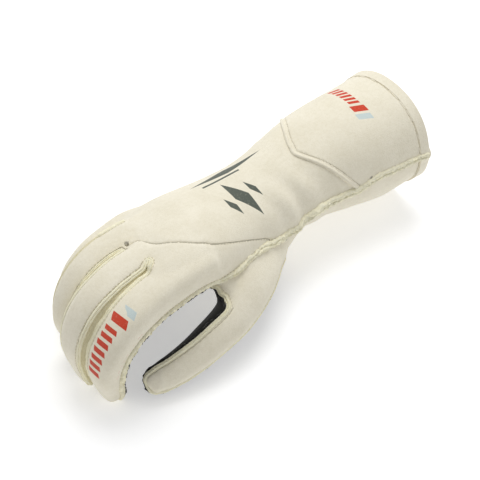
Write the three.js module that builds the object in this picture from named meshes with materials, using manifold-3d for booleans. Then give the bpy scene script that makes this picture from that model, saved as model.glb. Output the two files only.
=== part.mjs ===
// A right-hand racing glove with a long gauntlet, palm down, fingers bent so that it stands on its
// fingertips, its thumb and the underside of its cuff. Millimetres, +Z up.
//
// The glove is a hollow cloth shell: six limbs (hand with cuff, four fingers, thumb) are lofted once
// at their outer size and once a wall smaller, joined, and taken from each other. The shell is then
// cut along its seams into the pieces of cloth and suede that it is sewn from.
import * as THREE from "three";
import { mergeVertices } from "three/addons/utils/BufferGeometryUtils.js";
import Module from "manifold-3d";

const wasm = await Module();
wasm.setup();

// Driving dimensions
const WALL = 2;
const SEAM_GAP = 0.3;
const OVERLAY_RISE = 0.6;
const HEM_WIDTH = 6.5;
const HEM_RISE = 0.9;
const WELT_WIDTH = 3.2;
const WELT_HEIGHT = 2.4;
const HAND_SIDES = 20;
const FINGER_SIDES = 8;
const THUMB_SIDES = 10;
// Where the tables have the origin of the finished part: the middle of its footprint, on the floor.
const ORIGIN = new THREE.Vector3(-140.7, -16.3, 0);

const CLOTH = { color: 0xe9e2cb, roughness: 0.9, metalness: 0 };
const WELT_CLOTH = { color: 0xe0dbb0, roughness: 0.95, metalness: 0 };
const GUSSET_CLOTH = { color: 0xcfcaa0, roughness: 0.95, metalness: 0 };
const SUEDE = { color: 0x1d1c1a, roughness: 1, metalness: 0 };

// The tables start at the cuff's mouth, x = 0, and run to the fingertips in -x. The thumb is in -y.
// A row is one cross-section: its centre, its half width and half height, how far it rolls about the
// arm, and how far it slants, in mm of x for each mm of its width.
const handColumns = ["x", "y", "z", "halfWidth", "halfHeight", "rollDeg", "slant"];
const handRows = [
  [14, 0, 38.2, 42, 41.2, 0, 0],
  [0, 0, 38, 41.2, 40.3, 0, 0],
  [-16, 0.5, 37.6, 40.4, 39.8, 0, 0],
  [-38, 1.8, 37.5, 39.8, 39.4, 0, 0],
  [-62, 3.4, 38.6, 37.8, 35.6, 0, 0],
  [-86, 2.6, 41, 34.8, 29.4, 0, 0],
  [-112, -0.6, 42, 33.2, 26.3, 0, 0],
  [-134, -1.5, 43.5, 34.6, 26, -3, 0],
  [-154, -2.2, 46.5, 38, 26, -8, 0],
  [-176, -3.5, 51.5, 41.5, 24.5, -12, 0.05],
  [-198, -4, 56.8, 42, 19.5, -16, 0.15],
  [-216, -3.5, 59.5, 40, 13.5, -17, 0.2],
];

// A finger's row is the centre of its section, with its half width and its half depth.
const fingerColumns = ["x", "y", "z", "halfWidth", "halfHeight"];
const fingerRows = {
  index: [
    [-182, -32.5, 60, 12.4, 13.5],
    [-206, -35.6, 63.5, 12, 13.6],
    [-229, -38, 64, 11.7, 13.3],
    [-249, -40.8, 60.5, 11.7, 12.8],
    [-264.5, -42.3, 49.5, 11.4, 12],
    [-272, -43.6, 34, 10.5, 11],
    [-274.5, -44.8, 18, 9.2, 9.8],
    [-273.5, -45.6, 0.5, 7.6, 8.6],
  ],
  middle: [
    [-184, -9.5, 61, 12.2, 13.2],
    [-210, -11.5, 64, 11.6, 13.4],
    [-236, -14.2, 64.5, 11.5, 13.2],
    [-256, -17.2, 61, 11.5, 12.8],
    [-269, -19.5, 50, 11.4, 12.2],
    [-273.5, -21.8, 34, 10.8, 11.3],
    [-273, -24.3, 18, 9.4, 10.2],
    [-271, -26, 0.5, 8, 9],
  ],
  ring: [
    [-180, 12.5, 55.5, 12, 12.6],
    [-204, 12.5, 59, 11.5, 12.9],
    [-228, 10.2, 60, 11.2, 12.7],
    [-247, 7.2, 56.5, 11.1, 12.3],
    [-259.5, 4.5, 46, 11, 11.7],
    [-265, 1.5, 31, 10.4, 10.9],
    [-265.5, -1, 17, 9.2, 9.8],
    [-264, -2.6, 0.5, 7.8, 8.8],
  ],
  little: [
    [-172, 27, 42, 10, 11],
    [-194, 32.6, 44, 10, 11.2],
    [-212, 32, 44, 9.7, 11.2],
    [-228, 30.5, 41.5, 9.6, 10.9],
    [-239, 29, 34, 9.6, 10.4],
    [-245, 27, 23.5, 9.2, 9.8],
    [-246.5, 25.5, 12, 8.5, 9],
    [-246, 25, 0.5, 7.4, 8.2],
  ],
};

// The thumb's half width lies in the plane of its web, and its half height across it.
const thumbRows = [
  [-116, -16, 33, 18, 14],
  [-136.5, -29.3, 33, 19, 15],
  [-156.6, -45.2, 31.5, 17.5, 14.5],
  [-177, -56.5, 26, 14, 13.5],
  [-200, -62, 21, 13.4, 12.8],
  [-220, -64, 16.5, 12.8, 11.8],
  [-239, -62.5, 13, 11.6, 10.6],
  [-254, -59.5, 11.5, 10, 9.4],
];
// The web of skin between thumb and hand
const webRows = [
  [-130, -26, 33, 12, 8],
  [-150, -35, 33, 12, 7.5],
  [-170, -41, 34.5, 11, 7],
  [-189, -43.5, 37.5, 8.5, 6],
];
// The way out of the crease between thumb and hand.
const CREASE_OUT = new THREE.Vector3(0, -0.74, 0.67);
const THUMB_BACK = new THREE.Vector3(-0.2, -0.7, 0.68);

// Seams run along a limb at an angle round its section: 0 is its +y side (the thumb's inner side),
// 90 its back, 180 its other side. A table gives the angle at points along the hand or limb.
const innerSeam = [
  ["x", "angleDeg"],
  [
    [14, 166],
    [-12, 163],
    [-40, 160],
    [-60, 166],
    [-95, 170],
    [-118, 185],
    [-128, 194],
    [-140, 202],
    [-155, 207],
    [-178, 209],
    [-216, 215],
  ],
];
const outerSeam = [
  ["x", "angleDeg"],
  [
    [14, 4],
    [-60, 2],
    [-118, -2],
    [-178, -6],
    [-216, -10],
  ],
];
const panelSeam = [
  ["x", "angleDeg"],
  [
    [-112, 178],
    [-122, 169],
    [-136, 156],
    [-156, 145],
    [-178, 131],
    [-197, 113],
    [-208, 101],
    [-217, 87],
    [-232, 80],
  ],
];
// The lower edge of the cuff's overlay: how far from the mouth it lies at each angle.
const overlayEdge = [
  ["angleDeg", "x"],
  [
    [-30, -52],
    [20, -62],
    [44, -70],
    [80, -80.5],
    [97, -84],
    [107, -80.5],
    [121, -74],
    [134, -67],
    [156, -61],
    [200, -50],
  ],
];
// The back seams of the side walls between two fingers, as angles up from each finger's side.
const FINGER_PAIRS = [
  { names: ["index", "middle"], seamDegs: [32, 32] },
  { names: ["middle", "ring"], seamDegs: [30, 36] },
  { names: ["ring", "little"], seamDegs: [22, 62] },
];
const GUSSET_FRONT_DEG = -42;
const INDEX_SIDE_DEG = 215;
const LITTLE_SIDE_DEG = -12;
const THUMB_INNER_DEG = 14;
const THUMB_OUTER_DEG = 172;
const FINGER_FULLNESS = 2.5;
const HAND_FULLNESS = 2.15;
// Where each finger leaves the hand, as the hand's slanting end has it.
const FINGER_FROM_X = { index: -223, middle: -217.5, ring: -213, little: -209 };
const WRIST_SEAM_X = -120;
const INDEX_PANEL_FROM_X = -112;

// The cuff's mouth is cut at a slant: x = MOUTH.x + MOUTH.perY * y + MOUTH.perZ * z.
const MOUTH = { x: -12.3, perY: -0.06, perZ: 0.19 };

const rad = THREE.MathUtils.degToRad;

// A smooth curve through table values (a Catmull-Rom spline), read at row number u.
function splineAt(values, u) {
  const last = values.length - 1;
  const i = Math.min(Math.max(Math.floor(u), 0), last - 1);
  const t = u - i;
  const [p1, p2] = [values[i], values[i + 1]];
  const p0 = i > 0 ? values[i - 1] : 2 * p1 - p2;
  const p3 = i + 2 <= last ? values[i + 2] : 2 * p2 - p1;
  const m1 = (p2 - p0) / 2;
  const m2 = (p3 - p1) / 2;
  return (
    (2 * t ** 3 - 3 * t ** 2 + 1) * p1 +
    (t ** 3 - 2 * t ** 2 + t) * m1 +
    (3 * t ** 2 - 2 * t ** 3) * p2 +
    (t ** 3 - t ** 2) * m2
  );
}

// A table's second column at a place in its first, on straight lines between the rows.
function lookUp([, rows], at) {
  const up = rows[rows.length - 1][0] > rows[0][0];
  const sorted = up ? rows : [...rows].reverse();
  const after = sorted.findIndex(([place]) => place >= at);
  if (after === 0) return sorted[0][1];
  if (after < 0) return sorted[sorted.length - 1][1];
  const [[x0, y0], [x1, y1]] = [sorted[after - 1], sorted[after]];
  return y0 + ((y1 - y0) * (at - x0)) / (x1 - x0);
}

// One limb: its rows as named columns, and a frame at row number u: centre, side and back directions.
function makeLimb(columns, rows, directions, { sides, tipLength = 0, tipFullness = 2.5, fromX = 0 }) {
  const table = Object.fromEntries(columns.map((name, k) => [name, rows.map((row) => row[k])]));
  const centreAt = (u) =>
    new THREE.Vector3(splineAt(table.x, u), splineAt(table.y, u), splineAt(table.z, u));
  const alongAt = (u) => centreAt(u + 0.01).sub(centreAt(u - 0.01)).normalize();
  const at = (u) => {
    const along = alongAt(u);
    const { side, back } = directions(u, along, table);
    return {
      centre: centreAt(u),
      along,
      side,
      back,
      halfWidth: splineAt(table.halfWidth, u),
      halfHeight: splineAt(table.halfHeight, u),
      fullness: table.rollDeg ? HAND_FULLNESS : FINGER_FULLNESS,
    };
  };
  return { at, table, sides, tipLength, tipFullness, fromX, last: rows.length - 1 };
}

const SIDE_Y = new THREE.Vector3(0, 1, 0);

// The hand's sections stand upright across the arm, and roll about it.
function handDirections(u, along, table) {
  const roll = rad(splineAt(table.rollDeg, u));
  return {
    side: new THREE.Vector3(splineAt(table.slant, u), Math.cos(roll), Math.sin(roll)),
    back: new THREE.Vector3(0, -Math.sin(roll), Math.cos(roll)),
  };
}

// A finger bends in an upright plane, so its side direction stays level.
function fingerDirections(u, along, table) {
  const side = SIDE_Y.clone().addScaledVector(along, -along.y).normalize();
  return { side, back: new THREE.Vector3().crossVectors(side, along).normalize() };
}

function thumbDirections(u, along) {
  const side = new THREE.Vector3().crossVectors(along, THUMB_BACK).normalize();
  return { side, back: new THREE.Vector3().crossVectors(side, along).normalize() };
}

const hand = makeLimb(handColumns, handRows, handDirections, { sides: HAND_SIDES });
const fingers = Object.fromEntries(
  Object.entries(fingerRows).map(([name, rows]) => [
    name,
    makeLimb(fingerColumns, rows, fingerDirections, {
      sides: FINGER_SIDES,
      tipLength: 11,
      fromX: FINGER_FROM_X[name],
    }),
  ]),
);
const thumb = makeLimb(fingerColumns, thumbRows, thumbDirections, {
  sides: THUMB_SIDES,
  tipLength: 10,
  tipFullness: 3,
});
const web = makeLimb(fingerColumns, webRows, thumbDirections, { sides: THUMB_SIDES, tipLength: 8 });

// The point on a frame's section at an angle, with the section grown outwards by grow.
function sectionPoint(frame, angleDeg, grow = 0, scale = 1) {
  const angle = rad(angleDeg);
  const [c, s] = [Math.cos(angle), Math.sin(angle)];
  const power = 2 / frame.fullness;
  const across = Math.sign(c) * Math.abs(c) ** power * (frame.halfWidth + grow) * scale;
  const up = Math.sign(s) * Math.abs(s) ** power * (frame.halfHeight + grow) * scale;
  return frame.centre.clone().addScaledVector(frame.side, across).addScaledVector(frame.back, up);
}

// How far along its rounded end a tip has its last ring
const TIP_SHARE = 0.75;

// Row numbers and scales of a limb's sections; a tip closes in on a rounded end of its own length.
function stationsOf(limb, grow) {
  const steps = [];
  if (!limb.tipLength) {
    for (let u = 0; u <= limb.last; u += 1) {
      steps.push({ u, scale: 1, push: u === limb.last ? grow : 0 });
    }
    return steps;
  }
  const lastLength = limb.at(limb.last - 1).centre.distanceTo(limb.at(limb.last).centre);
  const bodyEnd = limb.last - limb.tipLength / lastLength;
  const count = limb.last - 1;
  for (let k = 0; k <= count; k += 1) {
    steps.push({ u: (bodyEnd * k) / count, scale: 1, push: 0 });
  }
  steps.push({
    u: bodyEnd + (TIP_SHARE * limb.tipLength) / lastLength,
    scale: (1 - TIP_SHARE ** limb.tipFullness) ** (1 / limb.tipFullness),
    push: grow * TIP_SHARE,
  });
  return steps;
}

function limbRings(limb, grow) {
  return stationsOf(limb, grow).map(({ u, scale, push }) => {
    const frame = limb.at(u);
    frame.centre.addScaledVector(frame.along, push);
    return Array.from({ length: limb.sides }, (_, k) =>
      sectionPoint(frame, (360 * k) / limb.sides, grow, scale),
    );
  });
}

// A closed solid through rings of the same number of points, with a fan over each end ring.
function loft(rings) {
  const count = rings[0].length;
  const points = rings.flat();
  const middle = (ring) =>
    ring.reduce((sum, p) => sum.add(p), new THREE.Vector3()).divideScalar(ring.length);
  points.push(middle(rings[0]), middle(rings[rings.length - 1]));
  const [first, last] = [points.length - 2, points.length - 1];
  const index = [];
  for (let r = 0; r < rings.length - 1; r += 1) {
    for (let k = 0; k < count; k += 1) {
      const [a, b] = [r * count + k, r * count + ((k + 1) % count)];
      index.push(a, b, b + count, a, b + count, a + count);
    }
  }
  const end = (rings.length - 1) * count;
  for (let k = 0; k < count; k += 1) {
    const next = (k + 1) % count;
    index.push(first, next, k, last, end + k, end + next);
  }
  const geometry = new THREE.BufferGeometry().setFromPoints(points);
  geometry.setIndex(index);
  return geometry;
}

function solid(geometry) {
  const bare = geometry.clone();
  for (const name of Object.keys(bare.attributes)) {
    if (name !== "position") bare.deleteAttribute(name);
  }
  const merged = mergeVertices(bare, 1e-4);
  const make = (flip) => {
    const triVerts = new Uint32Array(merged.index.array);
    if (flip) {
      for (let i = 0; i < triVerts.length; i += 3) {
        [triVerts[i + 1], triVerts[i + 2]] = [triVerts[i + 2], triVerts[i + 1]];
      }
    }
    const vertProperties = new Float32Array(merged.attributes.position.array);
    return new wasm.Manifold(new wasm.Mesh({ numProp: 3, vertProperties, triVerts }));
  };
  const made = make(false);
  return made.volume() > 0 ? made : make(true);
}

function toGeometry(made) {
  const mesh = made.getMesh();
  const positions = new Float32Array(mesh.numVert * 3);
  for (let i = 0; i < mesh.numVert; i += 1) {
    const from = i * mesh.numProp;
    positions.set(mesh.vertProperties.subarray(from, from + 3), i * 3);
  }
  const geometry = new THREE.BufferGeometry();
  geometry.setAttribute("position", new THREE.BufferAttribute(positions, 3));
  geometry.setIndex(new THREE.BufferAttribute(mesh.triVerts, 1));
  geometry.computeVertexNormals();
  return geometry;
}

// A box between two corners.
function boxBetween(low, high) {
  const size = new THREE.Vector3().subVectors(high, low);
  const middle = new THREE.Vector3().addVectors(low, high).divideScalar(2);
  return new THREE.BoxGeometry(size.x, size.y, size.z).translate(middle.x, middle.y, middle.z);
}

const FAR = 400;
// All that lies past the slanted mouth, moved along the arm by shift.
function pastMouth(shift) {
  const corner = (x, y, z) =>
    new THREE.Vector3(x + MOUTH.x + MOUTH.perY * y + MOUTH.perZ * z + shift, y, z);
  const ring = (x) => [
    corner(x, -FAR, -FAR),
    corner(x, FAR, -FAR),
    corner(x, FAR, FAR),
    corner(x, -FAR, FAR),
  ];
  return solid(loft([ring(0), ring(FAR)]));
}

function aboveFloor(height) {
  return solid(
    boxBetween(new THREE.Vector3(-FAR, -FAR, height), new THREE.Vector3(FAR, FAR, FAR)),
  );
}

const allFingers = Object.values(fingers);

const formOf = (limb, grow) => solid(loft(limbRings(limb, grow)));

// The whole glove's form, grown outwards by grow, and flat where it stands on the floor.
function body(grow) {
  const limbs = [hand, ...allFingers, thumb, web].map((limb) => formOf(limb, grow));
  return limbs.reduce((sum, limb) => sum.add(limb)).intersect(aboveFloor(Math.max(0, -grow)));
}

// How far a wedge reaches past the skin, as a share of the limb, and where its outer side bends
const WEDGE_REACH = 0.45;
const WEDGE_SWELL = 1.5;
const WEDGE_SHARES = [0.2, 0.4, 0.6, 0.8];
const WEDGE_MARGIN = 1.5;
const WEDGE_RISE = 2;

// The part of space round a limb between two angles. Its two faces run out from the limb's centre
// line through the seam angles on the skin. Faces and ends lie grow further out than the seams.
function wedge(limb, fromU, toU, steps, fromDeg, toDeg, grow = 0) {
  const rings = Array.from({ length: steps + 1 }, (_, k) => {
    const frame = limb.at(fromU + ((toU - fromU) * k) / steps);
    const [a, b] = [fromDeg(frame.centre.x), toDeg(frame.centre.x)];
    const push = (k === steps ? grow : 0) - (k === 0 ? grow : 0);
    frame.centre.addScaledVector(frame.along, push);
    const reach = Math.min(frame.halfWidth, frame.halfHeight) * WEDGE_REACH;
    const face = (deg, turn) => {
      const out = sectionPoint(frame, deg).sub(frame.centre).normalize();
      const away = new THREE.Vector3().crossVectors(frame.along, out).multiplyScalar(turn * grow);
      const depths = [-WALL - WEDGE_MARGIN, WEDGE_RISE, reach].map((depth) =>
        sectionPoint(frame, deg, depth),
      );
      return [frame.centre.clone(), ...depths].map((point) => point.add(away));
    };
    const middles = WEDGE_SHARES.map((share) =>
      sectionPoint(frame, a + (b - a) * share, reach * WEDGE_SWELL),
    );
    return [...face(a, 1), ...middles, ...face(b, -1).reverse()];
  });
  return solid(loft(rings));
}

const constant = (value) => () => value;

// The row number of a limb at a place along the arm, on its first stretch towards the fingertips.
function rowAt(limb, x) {
  const { x: xs } = limb.table;
  const i = xs.findIndex((value, k) => k + 1 < xs.length && x <= value && x > xs[k + 1]);
  if (i < 0) return x > xs[0] ? 0 : limb.last;
  return i + (xs[i] - x) / (xs[i] - xs[i + 1]);
}

const CUFF_REACH = 90;

// Space on the hand's and fingers' palm side, between the two side seams.
function palmZone(grow) {
  const parts = [
    wedge(
      hand,
      rowAt(hand, WRIST_SEAM_X),
      hand.last + 0.2,
      6,
      (x) => lookUp(innerSeam, x),
      (x) => 360 + lookUp(outerSeam, x),
      grow,
    ),
  ];
  for (const [name, limb] of Object.entries(fingers)) {
    const from = name === "index" ? INDEX_SIDE_DEG : 200;
    const to = 360 + (name === "little" ? LITTLE_SIDE_DEG : -20);
    parts.push(wedge(limb, 1, limb.last + 0.6, 5, constant(from), constant(to), grow));
  }
  return parts.reduce((sum, part) => sum.add(part));
}

// Space between the centre lines of two neighbouring fingers, from their back seams to their front
// seams, beginning a little behind the crotch.
function gussetZone({ names, seamDegs }, grow) {
  const [one, other] = names.map((name) => fingers[name]);
  const starts = [one, other].map((limb) => rowAt(limb, limb.fromX + 3 + grow));
  const steps = 6;
  const rings = Array.from({ length: steps + 1 }, (_, k) => {
    const [a, b] = [one, other].map((limb, n) =>
      limb.at(starts[n] + ((limb.last + 0.6 - starts[n]) * k) / steps),
    );
    const seam = (frame, deg, turn) =>
      sectionPoint(frame, deg).addScaledVector(frame.back, turn * grow);
    return [
      a.centre,
      seam(a, GUSSET_FRONT_DEG, -1),
      seam(b, 180 - GUSSET_FRONT_DEG, -1),
      b.centre,
      seam(b, 180 - seamDegs[1], 1),
      seam(a, seamDegs[0], 1),
    ];
  });
  return solid(loft(rings));
}

// Space round the cuff from a lower edge, which the angle decides, to past the mouth.
function cuffZone(edge, grow) {
  const { centre } = hand.at(rowAt(hand, -40));
  const [fromDeg, toDeg] = [edge[1][0][0], edge[1][edge[1].length - 1][0]];
  const count = 12;
  const radii = [20, 28, 33, 38, 45, CUFF_REACH];
  const rings = Array.from({ length: count + 1 }, (_, k) => {
    const deg = fromDeg + ((toDeg - fromDeg) * k) / count;
    const across = new THREE.Vector3(0, Math.cos(rad(deg)), Math.sin(rad(deg)));
    const at = (x, radius) => centre.clone().setX(x).addScaledVector(across, radius);
    const start = lookUp(edge, deg) - grow;
    return [...radii.map((radius) => at(start, radius)), at(60, CUFF_REACH), at(60, radii[0])];
  });
  return solid(loft(rings));
}

// All on one side of the plane midway between two fingers: the side with the first one.
function sideOfFinger(first, second, grow) {
  const [one, other] = [fingers[first], fingers[second]];
  const middles = [2, 4, one.last].map((u) =>
    one.at(u).centre.add(other.at(u).centre).divideScalar(2),
  );
  const plane = new THREE.Plane().setFromCoplanarPoints(...middles);
  const yAt = (x, z) =>
    -(plane.constant + plane.normal.x * x + plane.normal.z * z) / plane.normal.y;
  const wall = (x) => [
    new THREE.Vector3(x, yAt(x, -20) + grow, -20),
    new THREE.Vector3(x, yAt(x, 120) + grow, 120),
    new THREE.Vector3(x, -FAR, 120),
    new THREE.Vector3(x, -FAR, -20),
  ];
  return solid(loft([wall(one.fromX + grow), wall(-FAR)]));
}

const outer = body(0);
const inner = body(-WALL);
const raised = body(OVERLAY_RISE);
const hemmed = body(HEM_RISE);
const shell = outer.subtract(inner);

// A zone with the seam's gap round it, for what is cut away from its neighbours
const withGap = (zone) => zone(0).add(zone(SEAM_GAP));
const biggest = (made) =>
  made.decompose().reduce((a, b) => (a.volume() > b.volume() ? a : b));

// Thumb: the thumb's own form outside the hand, below the seam along the hand's side
const THUMB_REACH = 2.5;
const THUMB_TO_Y = -24;
const thumbEnd = thumb.last + 0.6;
const thumbForm = (grow) => {
  const hull = formOf(thumb, THUMB_REACH + grow).add(formOf(web, THUMB_REACH + grow));
  const steps = 9;
  const [fromU, toU] = [rowAt(hand, -98), hand.last + 0.4];
  const rings = Array.from({ length: steps + 1 }, (_, k) => {
    const frame = hand.at(fromU + ((toU - fromU) * k) / steps);
    const lift = frame.back.clone().multiplyScalar(SEAM_GAP - grow);
    const seam = (depth) => sectionPoint(frame, lookUp(innerSeam, frame.centre.x), depth).sub(lift);
    const far = (y, z) => frame.centre.clone().add(new THREE.Vector3(0, y, z));
    const crease = [seam(-WALL - WEDGE_MARGIN), seam(0), seam(0).addScaledVector(CREASE_OUT, 60)];
    return [frame.centre, ...crease, far(20, 120), far(90, 40), far(60, -10)];
  });
  const aboveCrease = solid(loft(rings));
  const beyond = boxBetween(
    new THREE.Vector3(-FAR, THUMB_TO_Y + grow, -FAR),
    new THREE.Vector3(FAR, FAR, FAR),
  );
  return hull.subtract(aboveCrease).subtract(solid(beyond));
};
const thumbBackZone = (grow) =>
  wedge(thumb, 0, thumbEnd, 7, constant(THUMB_INNER_DEG), constant(THUMB_OUTER_DEG), grow);
const thumbShell = shell.intersect(thumbForm(0));
const thumbBack = biggest(thumbShell.intersect(thumbBackZone(0)));
const thumbFront = biggest(thumbShell.subtract(withGap(thumbBackZone)));
const withoutThumb = shell.subtract(withGap(thumbForm));

// Side walls between the fingers
const gussets = FINGER_PAIRS.map((pair) => biggest(withoutThumb.intersect(gussetZone(pair, 0))));
const gussetsOut = FINGER_PAIRS.map((pair) => withGap((grow) => gussetZone(pair, grow))).reduce(
  (sum, zone) => sum.add(zone),
);
const withoutGussets = withoutThumb.subtract(gussetsOut);

// Palm and finger fronts
const palm = biggest(withoutGussets.intersect(palmZone(0)));
const backs = withoutGussets.subtract(withGap(palmZone));

// Cuff: hem, underside and overlay
const fromHem = pastMouth(-HEM_WIDTH - SEAM_GAP);
const cuffHem = biggest(
  hemmed.subtract(inner).intersect(pastMouth(-HEM_WIDTH)).subtract(pastMouth(0)),
);
const underZone = (grow) =>
  wedge(
    hand,
    0,
    rowAt(hand, WRIST_SEAM_X),
    6,
    (x) => lookUp(innerSeam, x),
    (x) => 360 + lookUp(outerSeam, x),
    grow,
  );
const sleeve = backs.subtract(fromHem);
const cuffUnder = biggest(sleeve.intersect(underZone(0)));
const cuffBack = biggest(
  raised
    .subtract(inner)
    .intersect(cuffZone(overlayEdge, 0))
    .subtract(fromHem)
    .subtract(withGap(underZone)),
);

// Backs of the hand and fingers, parted by the panel seam
const upper = sleeve.subtract(withGap(underZone)).subtract(cuffZone(overlayEdge, SEAM_GAP));
const indexPanelZone = (grow) =>
  wedge(
    hand,
    rowAt(hand, INDEX_PANEL_FROM_X),
    hand.last + 0.05,
    8,
    (x) => lookUp(panelSeam, x),
    (x) => lookUp(innerSeam, x) + 20,
    grow,
  ).add(sideOfFinger("middle", "ring", grow));
const indexBack = biggest(upper.intersect(indexPanelZone(0)));
const handBack = biggest(upper.subtract(withGap(indexPanelZone)));

// Raised seams: a narrow rib of folded cloth along a line of points on the skin
const weltProfile = [
  ["across", "rise"],
  [
    [-0.5, -0.5],
    [-0.35, 1],
    [0.35, 1],
    [0.5, -0.5],
  ],
];

function rib(samples) {
  const rings = samples.map(({ point, normal }, k) => {
    const before = samples[Math.max(k - 1, 0)].point;
    const after = samples[Math.min(k + 1, samples.length - 1)].point;
    const along = after.clone().sub(before).normalize();
    const sideways = new THREE.Vector3().crossVectors(along, normal).normalize();
    return weltProfile[1].map(([across, rise]) =>
      point
        .clone()
        .addScaledVector(sideways, across * WELT_WIDTH)
        .addScaledVector(normal, rise * WELT_HEIGHT),
    );
  });
  return solid(loft(rings));
}

const overOverlay = body(OVERLAY_RISE + SEAM_GAP).intersect(cuffZone(overlayEdge, SEAM_GAP));
const underWelts = body(SEAM_GAP).add(overOverlay).add(fromHem);
const aboveSkin = (made) => biggest(made.subtract(underWelts).intersect(aboveFloor(0)));

const WELT_SEARCH = 12;
const caster = new THREE.Raycaster();
const skin = new THREE.Mesh(toGeometry(outer), new THREE.MeshBasicMaterial({ side: THREE.DoubleSide }));

// The point moved in or out along its normal until it lies on the glove's skin.
function onSkin({ point, normal }, search = WELT_SEARCH) {
  const start = point.clone().addScaledVector(normal, search);
  caster.set(start, normal.clone().negate());
  const [hit] = caster.intersectObject(skin);
  return { point: hit ? hit.point : point, normal };
}

// Points on the skin of a limb at a seam's angle, with the way out of the skin there.
function seamSamples(limb, fromU, toU, steps, angleDeg) {
  return Array.from({ length: steps + 1 }, (_, k) => {
    const frame = limb.at(fromU + ((toU - fromU) * k) / steps);
    const deg = angleDeg(frame.centre.x);
    const point = sectionPoint(frame, deg);
    const normal = sectionPoint(frame, deg, 4).sub(point).normalize();
    return { point, normal };
  });
}

const fingerEnd = (limb) => limb.last - 0.3;

// Each sample's normal averaged with its neighbours', so that the rib turns gently.
function easeNormals(samples) {
  const reach = 3;
  return samples.map(({ point }, k) => {
    const near = samples.slice(Math.max(0, k - reach), k + reach + 1);
    const sum = new THREE.Vector3();
    for (const { normal } of near) {
      sum.add(normal);
    }
    return { point, normal: sum.normalize() };
  });
}

function sideWelt(finger, handSeam, fingerDeg, outOf) {
  const limb = fingers[finger];
  const handEnd = rowAt(hand, limb.fromX + 10);
  const onHand = seamSamples(hand, rowAt(hand, 0), handEnd, 10, (x) => lookUp(handSeam, x));
  const fromU = rowAt(limb, limb.fromX);
  const onFinger = seamSamples(limb, fromU, fingerEnd(limb), 5, constant(fingerDeg));
  const samples = easeNormals([...onHand.map(outOf), ...onFinger]);
  return aboveSkin(rib(samples.map((sample) => onSkin(sample))));
}

// Where the seam runs in the crease between thumb and hand, its way out is the crease's.
function outOfCrease({ point, normal }) {
  return { point, normal: point.x < INDEX_PANEL_FROM_X ? CREASE_OUT : normal };
}

function fingerWelt({ names, seamDegs }) {
  const [one, other] = names.map((name) => fingers[name]);
  const leg = (limb, deg) =>
    seamSamples(limb, rowAt(limb, limb.fromX - 4), fingerEnd(limb), 6, constant(deg));
  const legs = [leg(one, seamDegs[0]), leg(other, 180 - seamDegs[1])];
  const [a, b] = legs.map(([start]) => start);
  const turn = {
    point: a.point.clone().add(b.point).divideScalar(2),
    normal: a.normal.clone().add(b.normal).normalize(),
  };
  turn.point.x += 3;
  return aboveSkin(legs.map((samples) => rib([turn, ...samples])).reduce((sum, made) => sum.add(made)));
}

// Points round a limb's rounded tip, from one seam angle over to the other.
function tipSamples(limb, fromDeg, steps) {
  const frame = limb.at(limb.last - 0.5);
  const out = sectionPoint(frame, fromDeg).sub(frame.centre).normalize();
  return Array.from({ length: steps }, (_, k) => {
    const turn = (Math.PI * (k + 0.7)) / (steps + 0.4);
    const normal = new THREE.Vector3()
      .addScaledVector(out, Math.cos(turn))
      .addScaledVector(frame.along, Math.sin(turn));
    return onSkin({ point: frame.centre.clone().addScaledVector(normal, limb.tipLength), normal }, 3);
  });
}

const THUMB_TIP_ROW = thumb.last - 0.7;
const thumbSeam = (fromU, toU, steps, deg) =>
  seamSamples(thumb, fromU, toU, steps, constant(deg)).map((sample) => onSkin(sample));
const thumbWelt = rib([
  ...thumbSeam(1.5, THUMB_TIP_ROW, 6, THUMB_OUTER_DEG),
  ...tipSamples(thumb, THUMB_OUTER_DEG, 4),
  ...thumbSeam(THUMB_TIP_ROW, 3.4, 7, THUMB_INNER_DEG),
]);

const glove = new THREE.Group();

function addPiece(name, made, look) {
  const piece = new THREE.Mesh(toGeometry(made), new THREE.MeshStandardMaterial(look));
  piece.name = name;
  glove.add(piece);
}

addPiece("hand_back", handBack, CLOTH);
addPiece("index_back", indexBack, CLOTH);
addPiece("palm", palm, SUEDE);
addPiece("thumb_back", thumbBack, CLOTH);
addPiece("thumb_front", thumbFront, SUEDE);
FINGER_PAIRS.forEach(({ names }, k) => {
  addPiece(`gusset_${names.join("_")}`, gussets[k], GUSSET_CLOTH);
});
addPiece("cuff_back", cuffBack, CLOTH);
addPiece("cuff_under", cuffUnder, CLOTH);
addPiece("cuff_hem", cuffHem, CLOTH);
const innerWelt = sideWelt("index", innerSeam, INDEX_SIDE_DEG, outOfCrease);
const outerWelt = sideWelt("little", outerSeam, LITTLE_SIDE_DEG, (sample) => sample);
addPiece("side_welt_inner", innerWelt, WELT_CLOTH);
addPiece("side_welt_outer", outerWelt, WELT_CLOTH);
for (const pair of FINGER_PAIRS) {
  addPiece(`finger_welt_${pair.names.join("_")}`, fingerWelt(pair), WELT_CLOTH);
}
addPiece("thumb_welt", aboveSkin(thumbWelt), WELT_CLOTH);

glove.position.copy(ORIGIN).negate();

export default glove;
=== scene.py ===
"""A right-hand racing glove with a long gauntlet, sewn panel by panel over one smooth form."""

import math
from collections import defaultdict, deque

import bmesh
import bpy
import numpy as np
from bpy.props import FloatProperty, FloatVectorProperty, PointerProperty
from mathutils import Matrix, Vector, noise
from mathutils.bvhtree import BVHTree


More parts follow.
